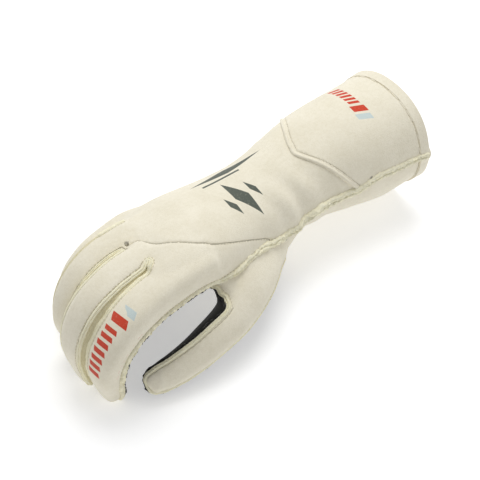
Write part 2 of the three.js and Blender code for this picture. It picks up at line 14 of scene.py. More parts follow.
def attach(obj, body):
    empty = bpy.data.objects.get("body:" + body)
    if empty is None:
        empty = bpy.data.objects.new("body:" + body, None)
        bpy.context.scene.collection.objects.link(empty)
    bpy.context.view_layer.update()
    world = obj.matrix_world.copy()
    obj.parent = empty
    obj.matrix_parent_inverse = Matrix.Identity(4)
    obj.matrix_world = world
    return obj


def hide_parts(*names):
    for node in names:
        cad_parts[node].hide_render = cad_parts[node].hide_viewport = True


bl_info = {
    "name": "Racing glove",
    "version": (1, 0, 0),
    "blender": (4, 5, 0),
    "location": "View3D > Sidebar > Glove",
    "description": "Builds a racing glove with its panels, raised seams, stitching and studio",
    "category": "Object",
}

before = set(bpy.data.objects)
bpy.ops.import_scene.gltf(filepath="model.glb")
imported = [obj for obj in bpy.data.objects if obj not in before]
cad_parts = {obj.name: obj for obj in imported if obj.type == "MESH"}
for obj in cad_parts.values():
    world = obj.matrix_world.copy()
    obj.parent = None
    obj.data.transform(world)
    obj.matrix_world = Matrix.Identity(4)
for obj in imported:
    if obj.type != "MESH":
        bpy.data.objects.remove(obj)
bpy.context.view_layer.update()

MM = 0.001
# The tables are in millimetres from the mouth of the cuff; the fingers point along -X
ORIGIN = np.array([-140.7, -16.3, 0.0])

# x, y, z of the centre, half width, half height, roll in degrees, slant
HAND_ROWS = [
    (14, 0, 38.2, 42, 41.2, 0, 0),
    (0, 0, 38, 41.2, 40.3, 0, 0),
    (-16, 0.5, 37.6, 40.4, 39.8, 0, 0),
    (-38, 1.8, 37.5, 39.8, 39.4, 0, 0),
    (-62, 3.4, 38.6, 37.8, 35.6, 0, 0),
    (-86, 2.6, 41, 34.8, 29.4, 0, 0),
    (-112, -0.6, 42, 33.2, 26.3, 0, 0),
    (-134, -1.5, 43.5, 34.6, 26, -3, 0),
    (-154, -2.2, 46.5, 38, 26, -8, 0),
    (-176, -3.5, 51.5, 41.5, 24.5, -12, 0.05),
    (-198, -4, 56.8, 42, 19.5, -16, 0.15),
    (-216, -3.5, 59.5, 40, 13.5, -17, 0.2),
]
# x, y, z of the centre, half width, half height
FINGER_ROWS = {
    "index": [
        (-182, -32, 60, 12.4, 13.5),
        (-206, -35.1, 63.5, 12.8, 13.6),
        (-229, -37.8, 64, 13.3, 13.3),
        (-249, -41, 60.5, 13.5, 12.8),
        (-264.5, -43.2, 49.5, 13.2, 12),
        (-272, -44.8, 34, 12.2, 11),
        (-271, -45, 18, 10.2, 9.2),
        (-266.5, -44.8, 0.5, 7.6, 7),
    ],
    "middle": [
        (-184, -9.3, 61, 12.2, 13.2),
        (-210, -10.8, 64, 12.7, 13.4),
        (-236, -12.6, 64.5, 13.4, 13.2),
        (-256, -15.4, 61, 13.4, 12.8),
        (-269, -17.8, 50, 13.1, 12.2),
        (-274.5, -20.2, 34, 12.2, 11.3),
        (-273, -23, 18, 10.4, 9.6),
        (-269, -24.8, 0.5, 8, 7.8),
    ],
    "ring": [
        (-180, 12.8, 55.5, 12, 12.6),
        (-204, 13.4, 59, 11.8, 12.9),
        (-228, 12.1, 60.5, 11.9, 12.7),
        (-247, 9.6, 57.5, 11.8, 12.3),
        (-259.5, 6.8, 47, 11.5, 11.7),
        (-265, 3.8, 31.5, 10.8, 10.9),
        (-263, 1.2, 17, 9.2, 9),
        (-259, -0.6, 0.5, 7.4, 7.2),
    ],
    "little": [
        (-172, 27, 42, 10, 11),
        (-194, 32.4, 43.5, 10, 11),
        (-212, 32.2, 43, 9.7, 11),
        (-228, 31, 40, 9.6, 10.7),
        (-239, 29.6, 32.5, 9.6, 10.2),
        (-245, 27.6, 22.5, 9.2, 9.6),
        (-246.5, 26, 12, 8.5, 9),
        (-246, 25, 0.5, 7.4, 8.2),
    ],
}
THUMB_ROWS = [
    (-116, -16, 33, 18, 14),
    (-136.5, -29.3, 33, 19, 15),
    (-156.6, -45.2, 31.5, 17.5, 14.5),
    (-177, -56, 26, 14, 13.5),
    (-200, -60.5, 21.5, 13, 12.4),
    (-220, -61.5, 17, 11.8, 10.6),
    (-239, -60, 13.5, 10.6, 9.6),
    (-251, -57.5, 12, 9.4, 8.6),
]
WEB_ROWS = [
    (-130, -27, 36, 13, 10),
    (-147, -35.5, 36, 13, 10),
    (-164, -41, 36, 11.5, 9),
    (-181, -44.5, 37.5, 9, 7),
]
THUMB_BACK = np.array([-0.2, -0.7, 0.68])
# Seams round the hand: x, angle in degrees from the little finger's side over the back
INNER_SEAM = [
    (14, 168),
    (-8, 167),
    (-18, 166),
    (-38, 165),
    (-47, 167),
    (-56, 171.5),
    (-85, 172),
    (-95, 176),
    (-105, 179),
    (-118, 186),
    (-128, 194),
    (-140, 202),
    (-155, 206),
    (-178, 205),
    (-216, 203),
]
OUTER_SEAM = [(14, 4), (-60, 2), (-118, -2), (-178, -6), (-216, -10)]
PANEL_SEAM = [
    (-112, 190),
    (-119, 184),
    (-134, 167.6),
    (-145, 160),
    (-156, 153.5),
    (-167, 146.5),
    (-177, 140),
    (-186, 130),
    (-194, 120),
    (-206, 107),
    (-212, 90),
    (-218, 84),
    (-232, 80),
]
# Lower edge of the cuff's overlay: angle in degrees, x
OVERLAY_EDGE = [
    (-30, -52),
    (20, -62),
    (49, -70.8),
    (59, -74),
    (80, -81),
    (95, -84.5),
    (105, -81.5),
    (119, -75.8),
    (135, -69.7),
    (154, -62.9),
    (170, -56.2),
    (200, -48),
]
# Angles where each finger's front starts and ends, and where its gussets meet its back
FINGER_FRONT = {
    "index": (198, 318),
    "middle": (222, 318),
    "ring": (222, 318),
    "little": (222, 348),
}
GUSSETS = {
    "index": [(-42, 32)],
    "middle": [(-42, 42), (133, 222)],
    "ring": [(-42, 50), (134, 222)],
    "little": [(100, 222)],
}
# Where each gusset starts, from its finger's two sides: the little finger's side first
CROTCH_X = {
    "index": (-212, -217),
    "middle": (-224, -212),
    "ring": (-207, -224),
    "little": (-207, -207),
}
# The thumb's inner seam: x, angle; its outer seam stays at one angle
THUMB_INNER_SEAM = [(-160, 52), (-185, 52), (-205, 46), (-230, 36), (-254, 24)]
THUMB_OUTER_ANGLE = 172
WRIST_SEAM_X = -120
THUMB_FROM_X = -118
MOUTH_X = -12.3
MOUTH_LEAN = (-0.06, 0.19)


def unit(vectors):
    return vectors / np.linalg.norm(vectors, axis=-1, keepdims=True)


def bell(off, width):
    """1 where off is 0, fading on both sides over a width."""
    return np.exp(-((off / width) ** 2))


def lengths(points):
    """Distance along a run of points to each of them."""
    steps = np.linalg.norm(np.diff(points, axis=0), axis=1)
    return np.concatenate([[0], np.cumsum(steps)])


def read_at(at, along, values):
    """Rows of values that are known at distances along, read at other distances."""
    return np.stack([np.interp(at, along, column) for column in values.T], 1)


def nearest(points, line):
    """Number of the nearest point of a line to each point."""
    gap = (points**2).sum(1)[:, None] - 2 * points @ line.T + (line**2).sum(1)
    return gap.argmin(1)


def spline(table, u):
    """The rows of a table joined by smooth curves, read at row numbers u."""
    last = len(table) - 1
    i = np.clip(np.floor(u).astype(int), 0, last - 1)
    t = (u - i)[:, None]
    p1, p2 = table[i], table[i + 1]
    p0 = np.where((i > 0)[:, None], table[np.maximum(i - 1, 0)], 2 * p1 - p2)
    p3 = np.where((i + 2 <= last)[:, None], table[np.minimum(i + 2, last)], 2 * p2 - p1)
    m1, m2 = (p2 - p0) / 2, (p3 - p1) / 2
    return (
        (2 * t**3 - 3 * t**2 + 1) * p1
        + (t**3 - 2 * t**2 + t) * m1
        + (3 * t**2 - 2 * t**3) * p2
        + (t**3 - t**2) * m2
    )


def look_up(rows, at):
    """A table's second column at places in its first."""
    table = np.array(sorted(rows), float)
    return np.interp(at, table[:, 0], table[:, 1])


def hand_lie(along, values):
    roll, slant = np.radians(values[:, 5]), values[:, 6]
    side = np.stack([slant, np.cos(roll), np.sin(roll)], axis=1)
    back = np.stack([0 * roll, -np.sin(roll), np.cos(roll)], axis=1)
    return side, back


def finger_lie(along, values):
    side = unit(np.array([0, 1, 0]) - along * along[:, 1:2])
    return side, unit(np.cross(side, along))


def thumb_lie(along, values):
    side = unit(np.cross(along, THUMB_BACK))
    return side, unit(np.cross(side, along))


class Limb:
    """One tube of the glove: the arm and hand, a finger, the thumb or the web beside it."""

    TIP_RINGS = 9
    TIP_END = 0.995
    SAMPLES = 140
    FINE_SAMPLES = 1500
    REACH = 0.4

    def __init__(self, rows, lie, fullness, tip=0.0, tip_fullness=2.5, slim=(0, 0)):
        self.table = np.array(rows, float)
        self.table[:, 3:5] -= slim
        self.lie = lie
        self.fullness = fullness
        self.tip = tip
        self.tip_fullness = tip_fullness
        self.last = len(rows) - 1

    def at(self, u):
        """Centre, along, side, back and half sizes at row numbers u."""
        values = spline(self.table, u)
        ahead, behind = spline(self.table, u + 0.01), spline(self.table, u - 0.01)
        along = unit(ahead[:, :3] - behind[:, :3])
        side, back = self.lie(along, values)
        return values[:, :3], along, side, back, values[:, 3:5]

    def rings(self, count, sides):
        """Points round the limb, row by row, closing in on a rounded tip."""
        steps = np.linspace(0, self.last, count)
        scales = np.ones(count)
        if self.tip:
            centre = self.at(np.array([self.last - 1.0, self.last]))[0]
            end = self.last - self.tip / np.linalg.norm(centre[1] - centre[0])
            reach = np.sin(np.linspace(0, math.pi / 2, self.TIP_RINGS))[1:] * self.TIP_END
            steps = np.concatenate([np.linspace(0, end, count), end + reach * (self.last - end)])
            rounded = (1 - reach**self.tip_fullness) ** (1 / self.tip_fullness)
            scales = np.concatenate([scales, rounded])
        centre, _, side, back, half = self.at(steps)
        angle = np.linspace(0, 2 * math.pi, sides + 1)
        power = 2 / self.fullness
        c, s = (np.sign(turn) * np.abs(turn) ** power for turn in (np.cos(angle), np.sin(angle)))
        across = (half[:, :1] * scales[:, None]) * c
        up = (half[:, 1:] * scales[:, None]) * s
        return centre[:, None] + across[..., None] * side[:, None] + up[..., None] * back[:, None]

    def unrolled(self, points):
        """Distance along the centre line, angle and distance from it."""
        line = self.at(np.linspace(0, self.last, self.FINE_SAMPLES))[0]
        angle, radius = self.locate(points)[:2]
        return lengths(line)[nearest(points, line)], angle, radius

    def row_by_x(self, points, samples, line):
        """Row numbers of points on the hand, whose sections slant."""
        u = np.interp(-points[:, 0], -line[:, 0], samples)
        for _ in range(3):
            centre, _, side, _, _ = self.at(u)
            offset = points - centre
            a = offset[:, 1] * side[:, 1] + offset[:, 2] * side[:, 2]
            u = np.interp(-(points[:, 0] - a * side[:, 0]), -line[:, 0], samples)
        return np.minimum(u, self.last)

    def row_by_distance(self, points, samples, line, along):
        """Row numbers of the nearest places on the centre line."""
        near = nearest(points, line)
        speed = np.linalg.norm(np.gradient(line, samples, axis=0), axis=1)
        ahead = ((points - line[near]) * along[near]).sum(1)
        spacing = samples[1] - samples[0]
        u = samples[near] + np.clip(ahead / speed[near], -spacing, spacing)
        return np.clip(u, 0, self.last)

    def locate(self, points):
        """Angle in degrees, distance from the centre line, heights over the skin and its tube."""
        samples = np.linspace(-self.REACH, self.last + self.REACH, self.SAMPLES)
        line, along = self.at(samples)[:2]
        slanting = self.lie is hand_lie
        if slanting:
            u = self.row_by_x(points, samples, line)
        else:
            u = self.row_by_distance(points, samples, line, along)
        centre, tangent, side, back, half = self.at(u)
        offset = points - centre
        in_section = offset * (0, 1, 1) if slanting else offset
        a, b = (in_section * side).sum(1), (in_section * back).sum(1)
        c, s = (
            np.sign(part) * np.abs(part / size) ** (self.fullness / 2)
            for part, size in ((a, half[:, 0]), (b, half[:, 1]))
        )
        out = np.maximum((c**2 + s**2) ** (1 / self.fullness), 1e-3)
        radius = np.hypot(a, b)
        tube = radius * (1 - 1 / out)
        past = np.abs((offset * tangent).sum(1)) if self.tip else self.table[-1, 0] - points[:, 0]
        return np.degrees(np.arctan2(s, c)), radius, np.maximum(tube, past), tube


FINGER_SLIM = {"index": 0.1, "middle": -0.1, "ring": -0.3, "little": 0.0}
LIMBS = {
    "hand": Limb(HAND_ROWS, hand_lie, 2.15),
    **{
        name: Limb(rows, finger_lie, 3.0, tip=11, slim=(FINGER_SLIM[name], 0.5))
        for name, rows in FINGER_ROWS.items()
    },
    "thumb": Limb(THUMB_ROWS, thumb_lie, 2.5, tip=10, tip_fullness=3, slim=(1.0, 1.4)),
    "web": Limb(WEB_ROWS, thumb_lie, 2.5, tip=8),
}


def arc(angle, start, end):
    """Degrees inside an arc, negative outside it."""
    half = (end - start) / 2
    off = (angle - start - half + 180) % 360 - 180
    return half - np.abs(off)


def mouth_depth(points):
    """How far points lie past the cuff's slanted mouth, negative inside the glove."""
    return points[:, 0] - MOUTH_X - MOUTH_LEAN[0] * points[:, 1] - MOUTH_LEAN[1] * points[:, 2]


# Seam distances go no further than FAR; where two limbs meet, they blend over BLEND
FAR = 12.0
BLEND = 1.4
# A gusset starts this deep between the fingers; fingers take over the panel seam past the knuckles
GUSSET_DEPTH = 1.5
KNUCKLES_X, KNUCKLES_LENGTH = -210, 8
# Slit that carries the seam between index and middle finger on to the hand: its middle line, half
# width, both ends and lowest height
SLIT_X, SLIT_Y, SLIT_SLOPE, SLIT_HALF = -215.5, -19.0, 0.5, 1.8
SLIT_START_X, SLIT_END_X, SLIT_Z = -217, -226, 66
# The thumb's back runs on to the hand below its inner seam, and over the web
THUMB_PANEL_END_X = -192
THUMB_PANEL_ARC = (-8, 62)
WEB_BACK_ARC = (30, 176)
# Sewn creases: the seam that each follows, its distance from it, the side of the glove that it is
# on, back or palm, how far past the wrist it begins, in millimetres, and how dark its painted shade
# is
GROOVES = [
    ("panel", 0.0, 1, -8, 1.0),
    ("overlay", 3.0, 1, -99, 0.75),
    ("hem", -0.75, 0, -150, 0.6),
    ("thumb_back", 2.75, -1, 60, 0.9),
    ("gusset", -2.25, 1, 101, 0.9),
]
GROOVE_HALF = 0.75
GROOVE_DEPTH = 0.6
# How far past the wrist seam the gussets and the index panel begin, in millimetres
GUSSETS_PAST_WRIST, PANEL_PAST_WRIST = 60, -8
# A point this close to a seam is moved on to it
SNAP = 0.12


def seam_fields(points):
    """Distances in millimetres from each seam, positive on the side that names it."""
    found = {name: limb.locate(points) for name, limb in LIMBS.items()}
    heights = np.stack([found[name][2] for name in LIMBS])
    weights = np.exp(-(heights - heights.min(0)) / BLEND)
    weights /= weights.sum(0)
    x, y, z = points.T

    def mixed(values, other=-FAR):
        parts = [np.clip(values.get(name, other) + 0 * x, -FAR, FAR) for name in LIMBS]
        return (weights * np.stack(parts)).sum(0)

    def width(name, degrees):
        return degrees * np.radians(1.0) * found[name][1]

    hand_angle, _, _, hand_tube = found["hand"]
    hand_turn = (hand_angle + 90) % 360 - 90
    inner, outer = look_up(INNER_SEAM, x), look_up(OUTER_SEAM, x)
    back = {"hand": width("hand", arc(hand_angle, outer, inner))}
    gusset = {"hand": -hand_tube - GUSSET_DEPTH}
    for name, front in FINGER_FRONT.items():
        angle = found[name][0]
        back[name] = width(name, arc(angle, front[1] - 360, front[0]))
        inside = width(name, np.max([arc(angle, *pair) for pair in GUSSETS[name]], axis=0))
        crotch = np.where(np.abs(angle) < 90, *CROTCH_X[name])
        gusset[name] = np.minimum(inside, crotch - x)
    off_slit = np.abs(y - SLIT_Y - SLIT_SLOPE * (x - SLIT_X))
    slit = np.minimum(SLIT_HALF - off_slit, SLIT_START_X - x)
    slit = np.where((z > SLIT_Z) & (x > SLIT_END_X), slit, -FAR)
    across = width("hand", hand_turn - look_up(PANEL_SEAM, x))
    fingers = np.clip((KNUCKLES_X - x) / KNUCKLES_LENGTH, 0, 1)
    panel = {
        "hand": across,
        "index": FAR,
        "middle": across * (1 - fingers) + FAR * fingers,
        "ring": across * (1 - fingers) - FAR * fingers,
    }
    below_seam = width("hand", arc(hand_angle, *(inner + turn for turn in THUMB_PANEL_ARC)))
    thumb_inner = look_up(THUMB_INNER_SEAM, x)
    thumb_back = {
        "thumb": width("thumb", arc(found["thumb"][0], thumb_inner, THUMB_OUTER_ANGLE)),
        "web": width("web", arc(found["web"][0], *WEB_BACK_ARC)),
        "hand": np.minimum(below_seam, x - THUMB_PANEL_END_X),
    }
    thumb_height = np.minimum(found["thumb"][2], found["web"][2])
    others = np.min([found[name][2] for name in ("hand", *FINGER_ROWS)], axis=0)
    on_arm = x > THUMB_FROM_X
    order = np.argsort([found[name][2] for name in FINGER_ROWS], axis=0)
    return {
        "back": mixed(back),
        "gusset": np.maximum(mixed(gusset), slit),
        "panel": mixed(panel),
        "thumb_back": np.where(on_arm, -FAR, mixed(thumb_back)),
        "thumb": np.where(on_arm, -FAR, np.clip(others - thumb_height, -FAR, FAR)),
        "wrist": WRIST_SEAM_X - x,
        "hem": mouth_depth(points) + sizes().hem_width / MM,
        "overlay": np.clip(x - look_up(OVERLAY_EDGE, hand_turn), -FAR, FAR),
        "pair": np.minimum(order[0] + order[1], 5) * 1.0,
    }


def to_table(points):
    """Scene coordinates in metres as table coordinates in millimetres."""
    return points / MM + ORIGIN


def from_table(points):
    return (points - ORIGIN) * MM


def sizes():
    return bpy.context.scene.glove_sizes


def colours():
    return bpy.context.scene.glove_colours


def laid_tube(bm, points):
    """A closed tube laid on rows of points, whose first and last columns meet."""
    rows, columns = points.shape[:2]
    made = bmesh.ops.create_grid(bm, x_segments=columns - 1, y_segments=rows - 1, size=1.0)["verts"]
    for vert in made:
        column = round((vert.co.x + 1) / 2 * (columns - 1))
        row = round((vert.co.y + 1) / 2 * (rows - 1))
        vert.co = points[row, column]
    bmesh.ops.remove_doubles(bm, verts=made, dist=1e-7)
    made = [vert for vert in made if vert.is_valid]
    rims = {edge for vert in made for edge in vert.link_edges if edge.is_boundary}
    bmesh.ops.holes_fill(bm, edges=list(rims), sides=0)


def new_object(name, bm, *materials):
    mesh = bpy.data.meshes.new(name)
    bm.to_mesh(mesh)
    bm.free()
    for material in materials:
        mesh.materials.append(material)
    made = bpy.data.objects.new(name, mesh)
    bpy.context.scene.collection.objects.link(made)
    return made


def modify(piece, name, kind, **settings):
    """Adds a modifier."""
    modifier = piece.modifiers.new(name, kind)
    for key, value in settings.items():
        setattr(modifier, key, value)


def settle(piece):
    """Puts the result of a piece's modifiers into its mesh."""
    graph = bpy.context.evaluated_depsgraph_get()
    mesh = bpy.data.meshes.new_from_object(piece.evaluated_get(graph))
    piece.modifiers.clear()
    old = piece.data
    piece.data = mesh
    mesh.name = piece.name
    bpy.data.meshes.remove(old)


def smooth_shaded(piece, sharp_degrees=50):
    piece.data.polygons.foreach_set("use_smooth", [True] * len(piece.data.polygons))
    piece.data.set_sharp_from_angle(angle=math.radians(sharp_degrees))


def coordinates(mesh):
    flat = np.empty(len(mesh.vertices) * 3)
    mesh.vertices.foreach_get("co", flat)
    return flat.reshape(-1, 3)


def vertex_normals(mesh):
    flat = np.empty(len(mesh.vertices) * 3)
    mesh.vertex_normals.foreach_get("vector", flat)
    return flat.reshape(-1, 3)


def smooth_noise(points, size, seed):
    """Soft noise from -1 to 1 at points in millimetres, with lumps about size across."""
    shift = Vector((seed * 17.3, seed * 5.1, seed * 9.7))
    return np.array([noise.noise(Vector(point / size) + shift) for point in points])


# What the cloth does, in millimetres. Seams draw it in, and it stands up a little between them.
SEAM_PULL, SEAM_PULL_WIDTH = 0.75, 2.6
PANEL_RISE, PANEL_RISE_WIDTH = 0.3, 9
# Soft folds cross the wrist, and finer ones the insides of the bent fingers
FOLDS_X, FOLDS_REACH, FOLD_HEIGHT, FOLD_PERIOD = -101, 20, 1.1, 21
BEND_X, BEND_REACH, BEND_HEIGHT, BEND_PERIOD = -250, 9, 0.4, 8
# The cuff sags where it lies, most at its mouth, and is pinched at the mouth's inner side
ARM_SAG, MOUTH_SAG, SAG_ANGLE, SAG_WIDTH = 4.2, 3.0, 222, 26
PINCH, PINCH_WIDTH, PINCH_LENGTH = 2.4, 3.2, 5
LUMPS, FINE_LUMPS = 0.5, 0.12


def cloth_moves(points, fields):
    """How far the cloth stands off the smooth form: drawn in at seams, with soft folds."""
    x, y, z = points.T
    on_back = fields["back"] > 0
    seam = np.abs(fields["back"])
    seam = np.where(on_back, np.minimum(seam, np.abs(fields["gusset"]) + 0.4), seam)
    seam = np.where(on_back & (x < -105), np.minimum(seam, np.abs(fields["panel"])), seam)
    seam = np.where(on_back, seam, np.minimum(seam, np.abs(fields["thumb_back"])))
    drawn = -SEAM_PULL * bell(seam, SEAM_PULL_WIDTH)
    drawn = drawn + PANEL_RISE * (1 - bell(seam, PANEL_RISE_WIDTH))
    broad, fine = smooth_noise(points, 34, 1), smooth_noise(points, 11, 2)
    waves = np.sin(2 * math.pi * (x + 0.45 * y) / FOLD_PERIOD + 1.8 * broad)
    inner_side = np.clip((-y - 4) / 18, 0.12 + 0.28 * np.clip((44 - z) / 16, 0, 1), 1)
    folds = bell(x - FOLDS_X, FOLDS_REACH) * FOLD_HEIGHT * waves * inner_side
    bends = bell(x - BEND_X, BEND_REACH) * np.sin(2 * math.pi * (x - 0.6 * z) / BEND_PERIOD)
    bends = bends * BEND_HEIGHT * (fields["back"] < 0)
    sag = ARM_SAG * np.clip((x + 112) / 20, 0, 1) + MOUTH_SAG * np.clip((x + 32) / 22, 0, 1)
    sag = sag * bell(LIMBS["hand"].locate(points)[0] % 360 - SAG_ANGLE, SAG_WIDTH)
    from_mouth = (mouth_depth(points) + 1) / PINCH_LENGTH
    corner = np.exp(-((fields["back"] / PINCH_WIDTH) ** 2) - from_mouth**2)
    pinch = PINCH * corner * (y < 0)
    return drawn + LUMPS * broad + FINE_LUMPS * fine + folds + bends + pinch - sag


class Form:
    """The glove's whole skin, its seam distances and what is read from it."""

    made = None

    @classmethod
    def get(cls):
        if cls.made is None:
            cls.made = cls()
        return cls.made

    def __init__(self):
        mesh = self.skin()
        points = to_table(coordinates(mesh))
        fields = seam_fields(points)
        bm = bmesh.new()
        bm.from_mesh(mesh)
        bpy.data.meshes.remove(mesh)
        for name in (*fields, "sewn"):
            bm.verts.layers.float.new(name)
        layers = {name: bm.verts.layers.float[name] for name in fields}
        # The sewn layer holds how dark the painted shade in each vertex's crease is
        self.sewn = bm.verts.layers.float["sewn"]
        for name, layer in layers.items():
            for vert, value in zip(bm.verts, fields[name]):
                vert[layer] = value
        for name in ("back", "gusset", "thumb_back", "thumb", "wrist", "overlay", "hem"):
            cut_along(bm, layers[name], 0.0)
        for name, level, *_ in GROOVES:
            for step in (-GROOVE_HALF, 0.0, GROOVE_HALF):
                cut_along(bm, layers[name], level + step)
        self.groove(bm, layers)
        bm.normal_update()
        bm.faces.index_update()
        self.bm = bm
        self.panel_of = self.classify(bm, layers)
        self.tree = BVHTree.FromBMesh(bm)

    def skin(self):
        """All limbs as one even, eased surface, flat on the floor and open at the mouth."""
        bm = bmesh.new()
        for name, limb in LIMBS.items():
            sides = 96 if name == "hand" else 48
            laid_tube(bm, from_table(limb.rings(60, sides)))
        bmesh.ops.recalc_face_normals(bm, faces=bm.faces)
        form = new_object("form", bm)
        modify(form, "Even mesh", "REMESH", mode="VOXEL", voxel_size=sizes().mesh_size)
        modify(form, "Eased", "SMOOTH", factor=0.5, iterations=7)
        settle(form)
        self.ease_web(form)
        mesh = form.data.copy()
        bpy.data.objects.remove(form)
        points = to_table(coordinates(mesh))
        moved = points + vertex_normals(mesh) * cloth_moves(points, seam_fields(points))[:, None]
        moved[:, 2] = np.maximum(moved[:, 2], 0.0)
        mesh.vertices.foreach_set("co", from_table(moved).ravel())
        bm = bmesh.new()
        bm.from_mesh(mesh)
        bmesh.ops.bisect_plane(
            bm,
            geom=bm.verts[:] + bm.edges[:] + bm.faces[:],
            plane_co=from_table(np.array([MOUTH_X, 0, 0])),
            plane_no=(1, -MOUTH_LEAN[0], -MOUTH_LEAN[1]),
            clear_outer=True,
        )
        bm.to_mesh(mesh)
        bm.free()
        return mesh

    def ease_web(self, form):
        """A soft hollow where the thumb runs into the hand."""
        fields = seam_fields(to_table(coordinates(form.data)))
        weights = np.exp(-((fields["thumb"] / 8) ** 2))
        near = form.vertex_groups.new(name="web")
        for index in np.flatnonzero(weights > 0.02):
            near.add([int(index)], float(weights[index]), "REPLACE")
        modify(form, "Hollow", "SMOOTH", factor=0.6, iterations=60, vertex_group=near.name)
        settle(form)

    def groove(self, bm, layers):
        """The sewn creases beside the seams and where the two back panels meet, pressed in and
        darkened with painted shade.
        """
        bm.normal_update()
        back, wrist = layers["back"], layers["wrist"]
        for name, level, side, start, painted_shade in GROOVES:
            level_at = [vert for vert in bm.verts if vert[layers[name]] == level]
            sewn = [vert for vert in level_at if vert[back] * side >= 0 and vert[wrist] > start]
            for vert in sewn:
                vert.co -= vert.normal * GROOVE_DEPTH * MM
                # How dark the painted shade laid into this crease is
                vert[self.sewn] = painted_shade

    def classify(self, bm, layers):
        """The panel of each face."""
        panel_of = {}
        for face in bm.faces:
            mean = {
                name: sum(vert[layer] for vert in face.verts) / len(face.verts)
                for name, layer in layers.items()
            }
            panel_of[face] = self.panel_name(mean)
        return panel_of

    @staticmethod
    def panel_name(mean):
        if mean["hem"] > 0:
            return "hem_back" if mean["back"] > 0 else "hem_under"
        if mean["back"] > 0:
            if mean["gusset"] > 0 and mean["wrist"] > GUSSETS_PAST_WRIST:
                pair = 1 if mean["pair"] < 2 else 3 if mean["pair"] < 4 else 5
                return f"gusset{pair}"
            if mean["overlay"] > 0:
                return "overlay"
            on_panel = mean["panel"] > 0 and mean["wrist"] > PANEL_PAST_WRIST
            return "index_back" if on_panel else "hand_back"
        if mean["wrist"] < 0:
            return "cuff_under"
        if mean["thumb_back"] > 0:
            return "thumb_back"
        return "thumb_front" if mean["thumb"] > 0 else "palm"

    def piece(self, name, panels, wall, lift=0.0):
        """A copy of the faces of some panels as one cloth wall."""
        chosen = {face.index for face, panel in self.panel_of.items() if panel in panels}
        part = self.bm.copy()
        gone = [face for index, face in enumerate(part.faces) if index not in chosen]
        bmesh.ops.delete(part, geom=gone, context="FACES")
        if lift:
            for vert in part.verts:
                vert.co += vert.normal * lift
        made = new_object(name, part)
        # Only the layer of painted crease shade is kept; the seam distances are dropped
        for layer in list(made.data.attributes):
            if layer.data_type == "FLOAT" and layer.name != "sewn":
                made.data.attributes.remove(layer)
        modify(made, "Wall", "SOLIDIFY", thickness=wall, offset=-1, use_even_offset=False)
        settle(made)
        smooth_shaded(made)
        return made

    def towards(self, line, panels):
        """Which way along the skin from a line its first panels lie: 1 or -1."""
        self.bm.faces.ensure_lookup_table()
        step = 0.002
        tangent = unit(np.gradient(line.points, axis=0))
        aside = np.cross(line.normals, tangent) * step
        votes = 0
        for k in range(3, len(line.points) - 3, 7):
            for sign in (1, -1):
                index = self.tree.find_nearest(Vector(line.points[k] + sign * aside[k]))[2]
                votes += sign * (self.panel_of[self.bm.faces[index]] in panels)
        return 1 if votes >= 0 else -1

    @staticmethod
    def unroll(piece, limb):
        """Stores how far along and round a limb each vertex lies, in metres."""
        along, angle, radius = limb.unrolled(to_table(coordinates(piece.data)))
        flat = np.zeros((len(along), 3))
        flat[:, 0] = np.radians(angle - 90) * radius * MM
        flat[:, 1] = along * MM
        layer = piece.data.attributes.new("place", "FLOAT_VECTOR", "POINT")
        layer.data.foreach_set("vector", flat.ravel())

    def seam(self, one, other, side=0):
        """The longest line where panels of one set meet those of the other, on one side or both."""
        near = defaultdict(list)
        for edge in self.bm.edges:
            if len(edge.link_faces) != 2:
                continue
            if side * (edge.verts[0].co.y / MM + ORIGIN[1]) < 0:
                continue
            a, b = (self.panel_of[face] for face in edge.link_faces)
            if (a in one and b in other) or (b in one and a in other):
                near[edge.verts[0]].append(edge.verts[1])
                near[edge.verts[1]].append(edge.verts[0])
        best, seen = [], set()
        for start in near:
            if start in seen:
                continue
            first = farthest(near, start)
            seen.update(first)
            if all(len(near[vert]) == 2 for vert in first):
                path = ring_of(near, start)
            else:
                path = chain(near, next(reversed(first)))
            if len(path) > len(best):
                best = path
        return SeamLine(best)


def farthest(near, start):
    """Everything reached from start, with the step before each, nearest first."""
    before = {start: None}
    queue = deque([start])
    while queue:
        vert = queue.popleft()
        for other in near[vert]:
            if other not in before:
                before[other] = vert
                queue.append(other)
    return before


def chain(near, start):
    """The path from start to the point farthest from it."""
    before = farthest(near, start)
    vert = next(reversed(before))
    path = []
    while vert is not None:
        path.append(vert)
        vert = before[vert]
    return path


def ring_of(near, start):
    """A closed line's points in order, the first again at the end."""
    path = [start, near[start][0]]
    while path[-1] is not start:
        ahead = [vert for vert in near[path[-1]] if vert is not path[-2]]
        path.append(ahead[0])
    return path


def cut_along(bm, layer, level):
    """Cuts the mesh where a seam distance passes a level, so that edges lie on the seam."""
    for vert in bm.verts:
        if abs(vert[layer] - level) < SNAP:
            vert[layer] = level
    crossing = [
        edge
        for edge in bm.edges
        if (edge.verts[0][layer] - level) * (edge.verts[1][layer] - level) < 0
        and abs(edge.verts[0][layer] - edge.verts[1][layer]) < FAR
    ]
    for edge in crossing:
        a, b = edge.verts
        share = (level - a[layer]) / (b[layer] - a[layer])
        _, made = bmesh.utils.edge_split(edge, a, share)
        made[layer] = level
    bmesh.ops.connect_verts(bm, verts=[vert for vert in bm.verts if vert[layer] == level])


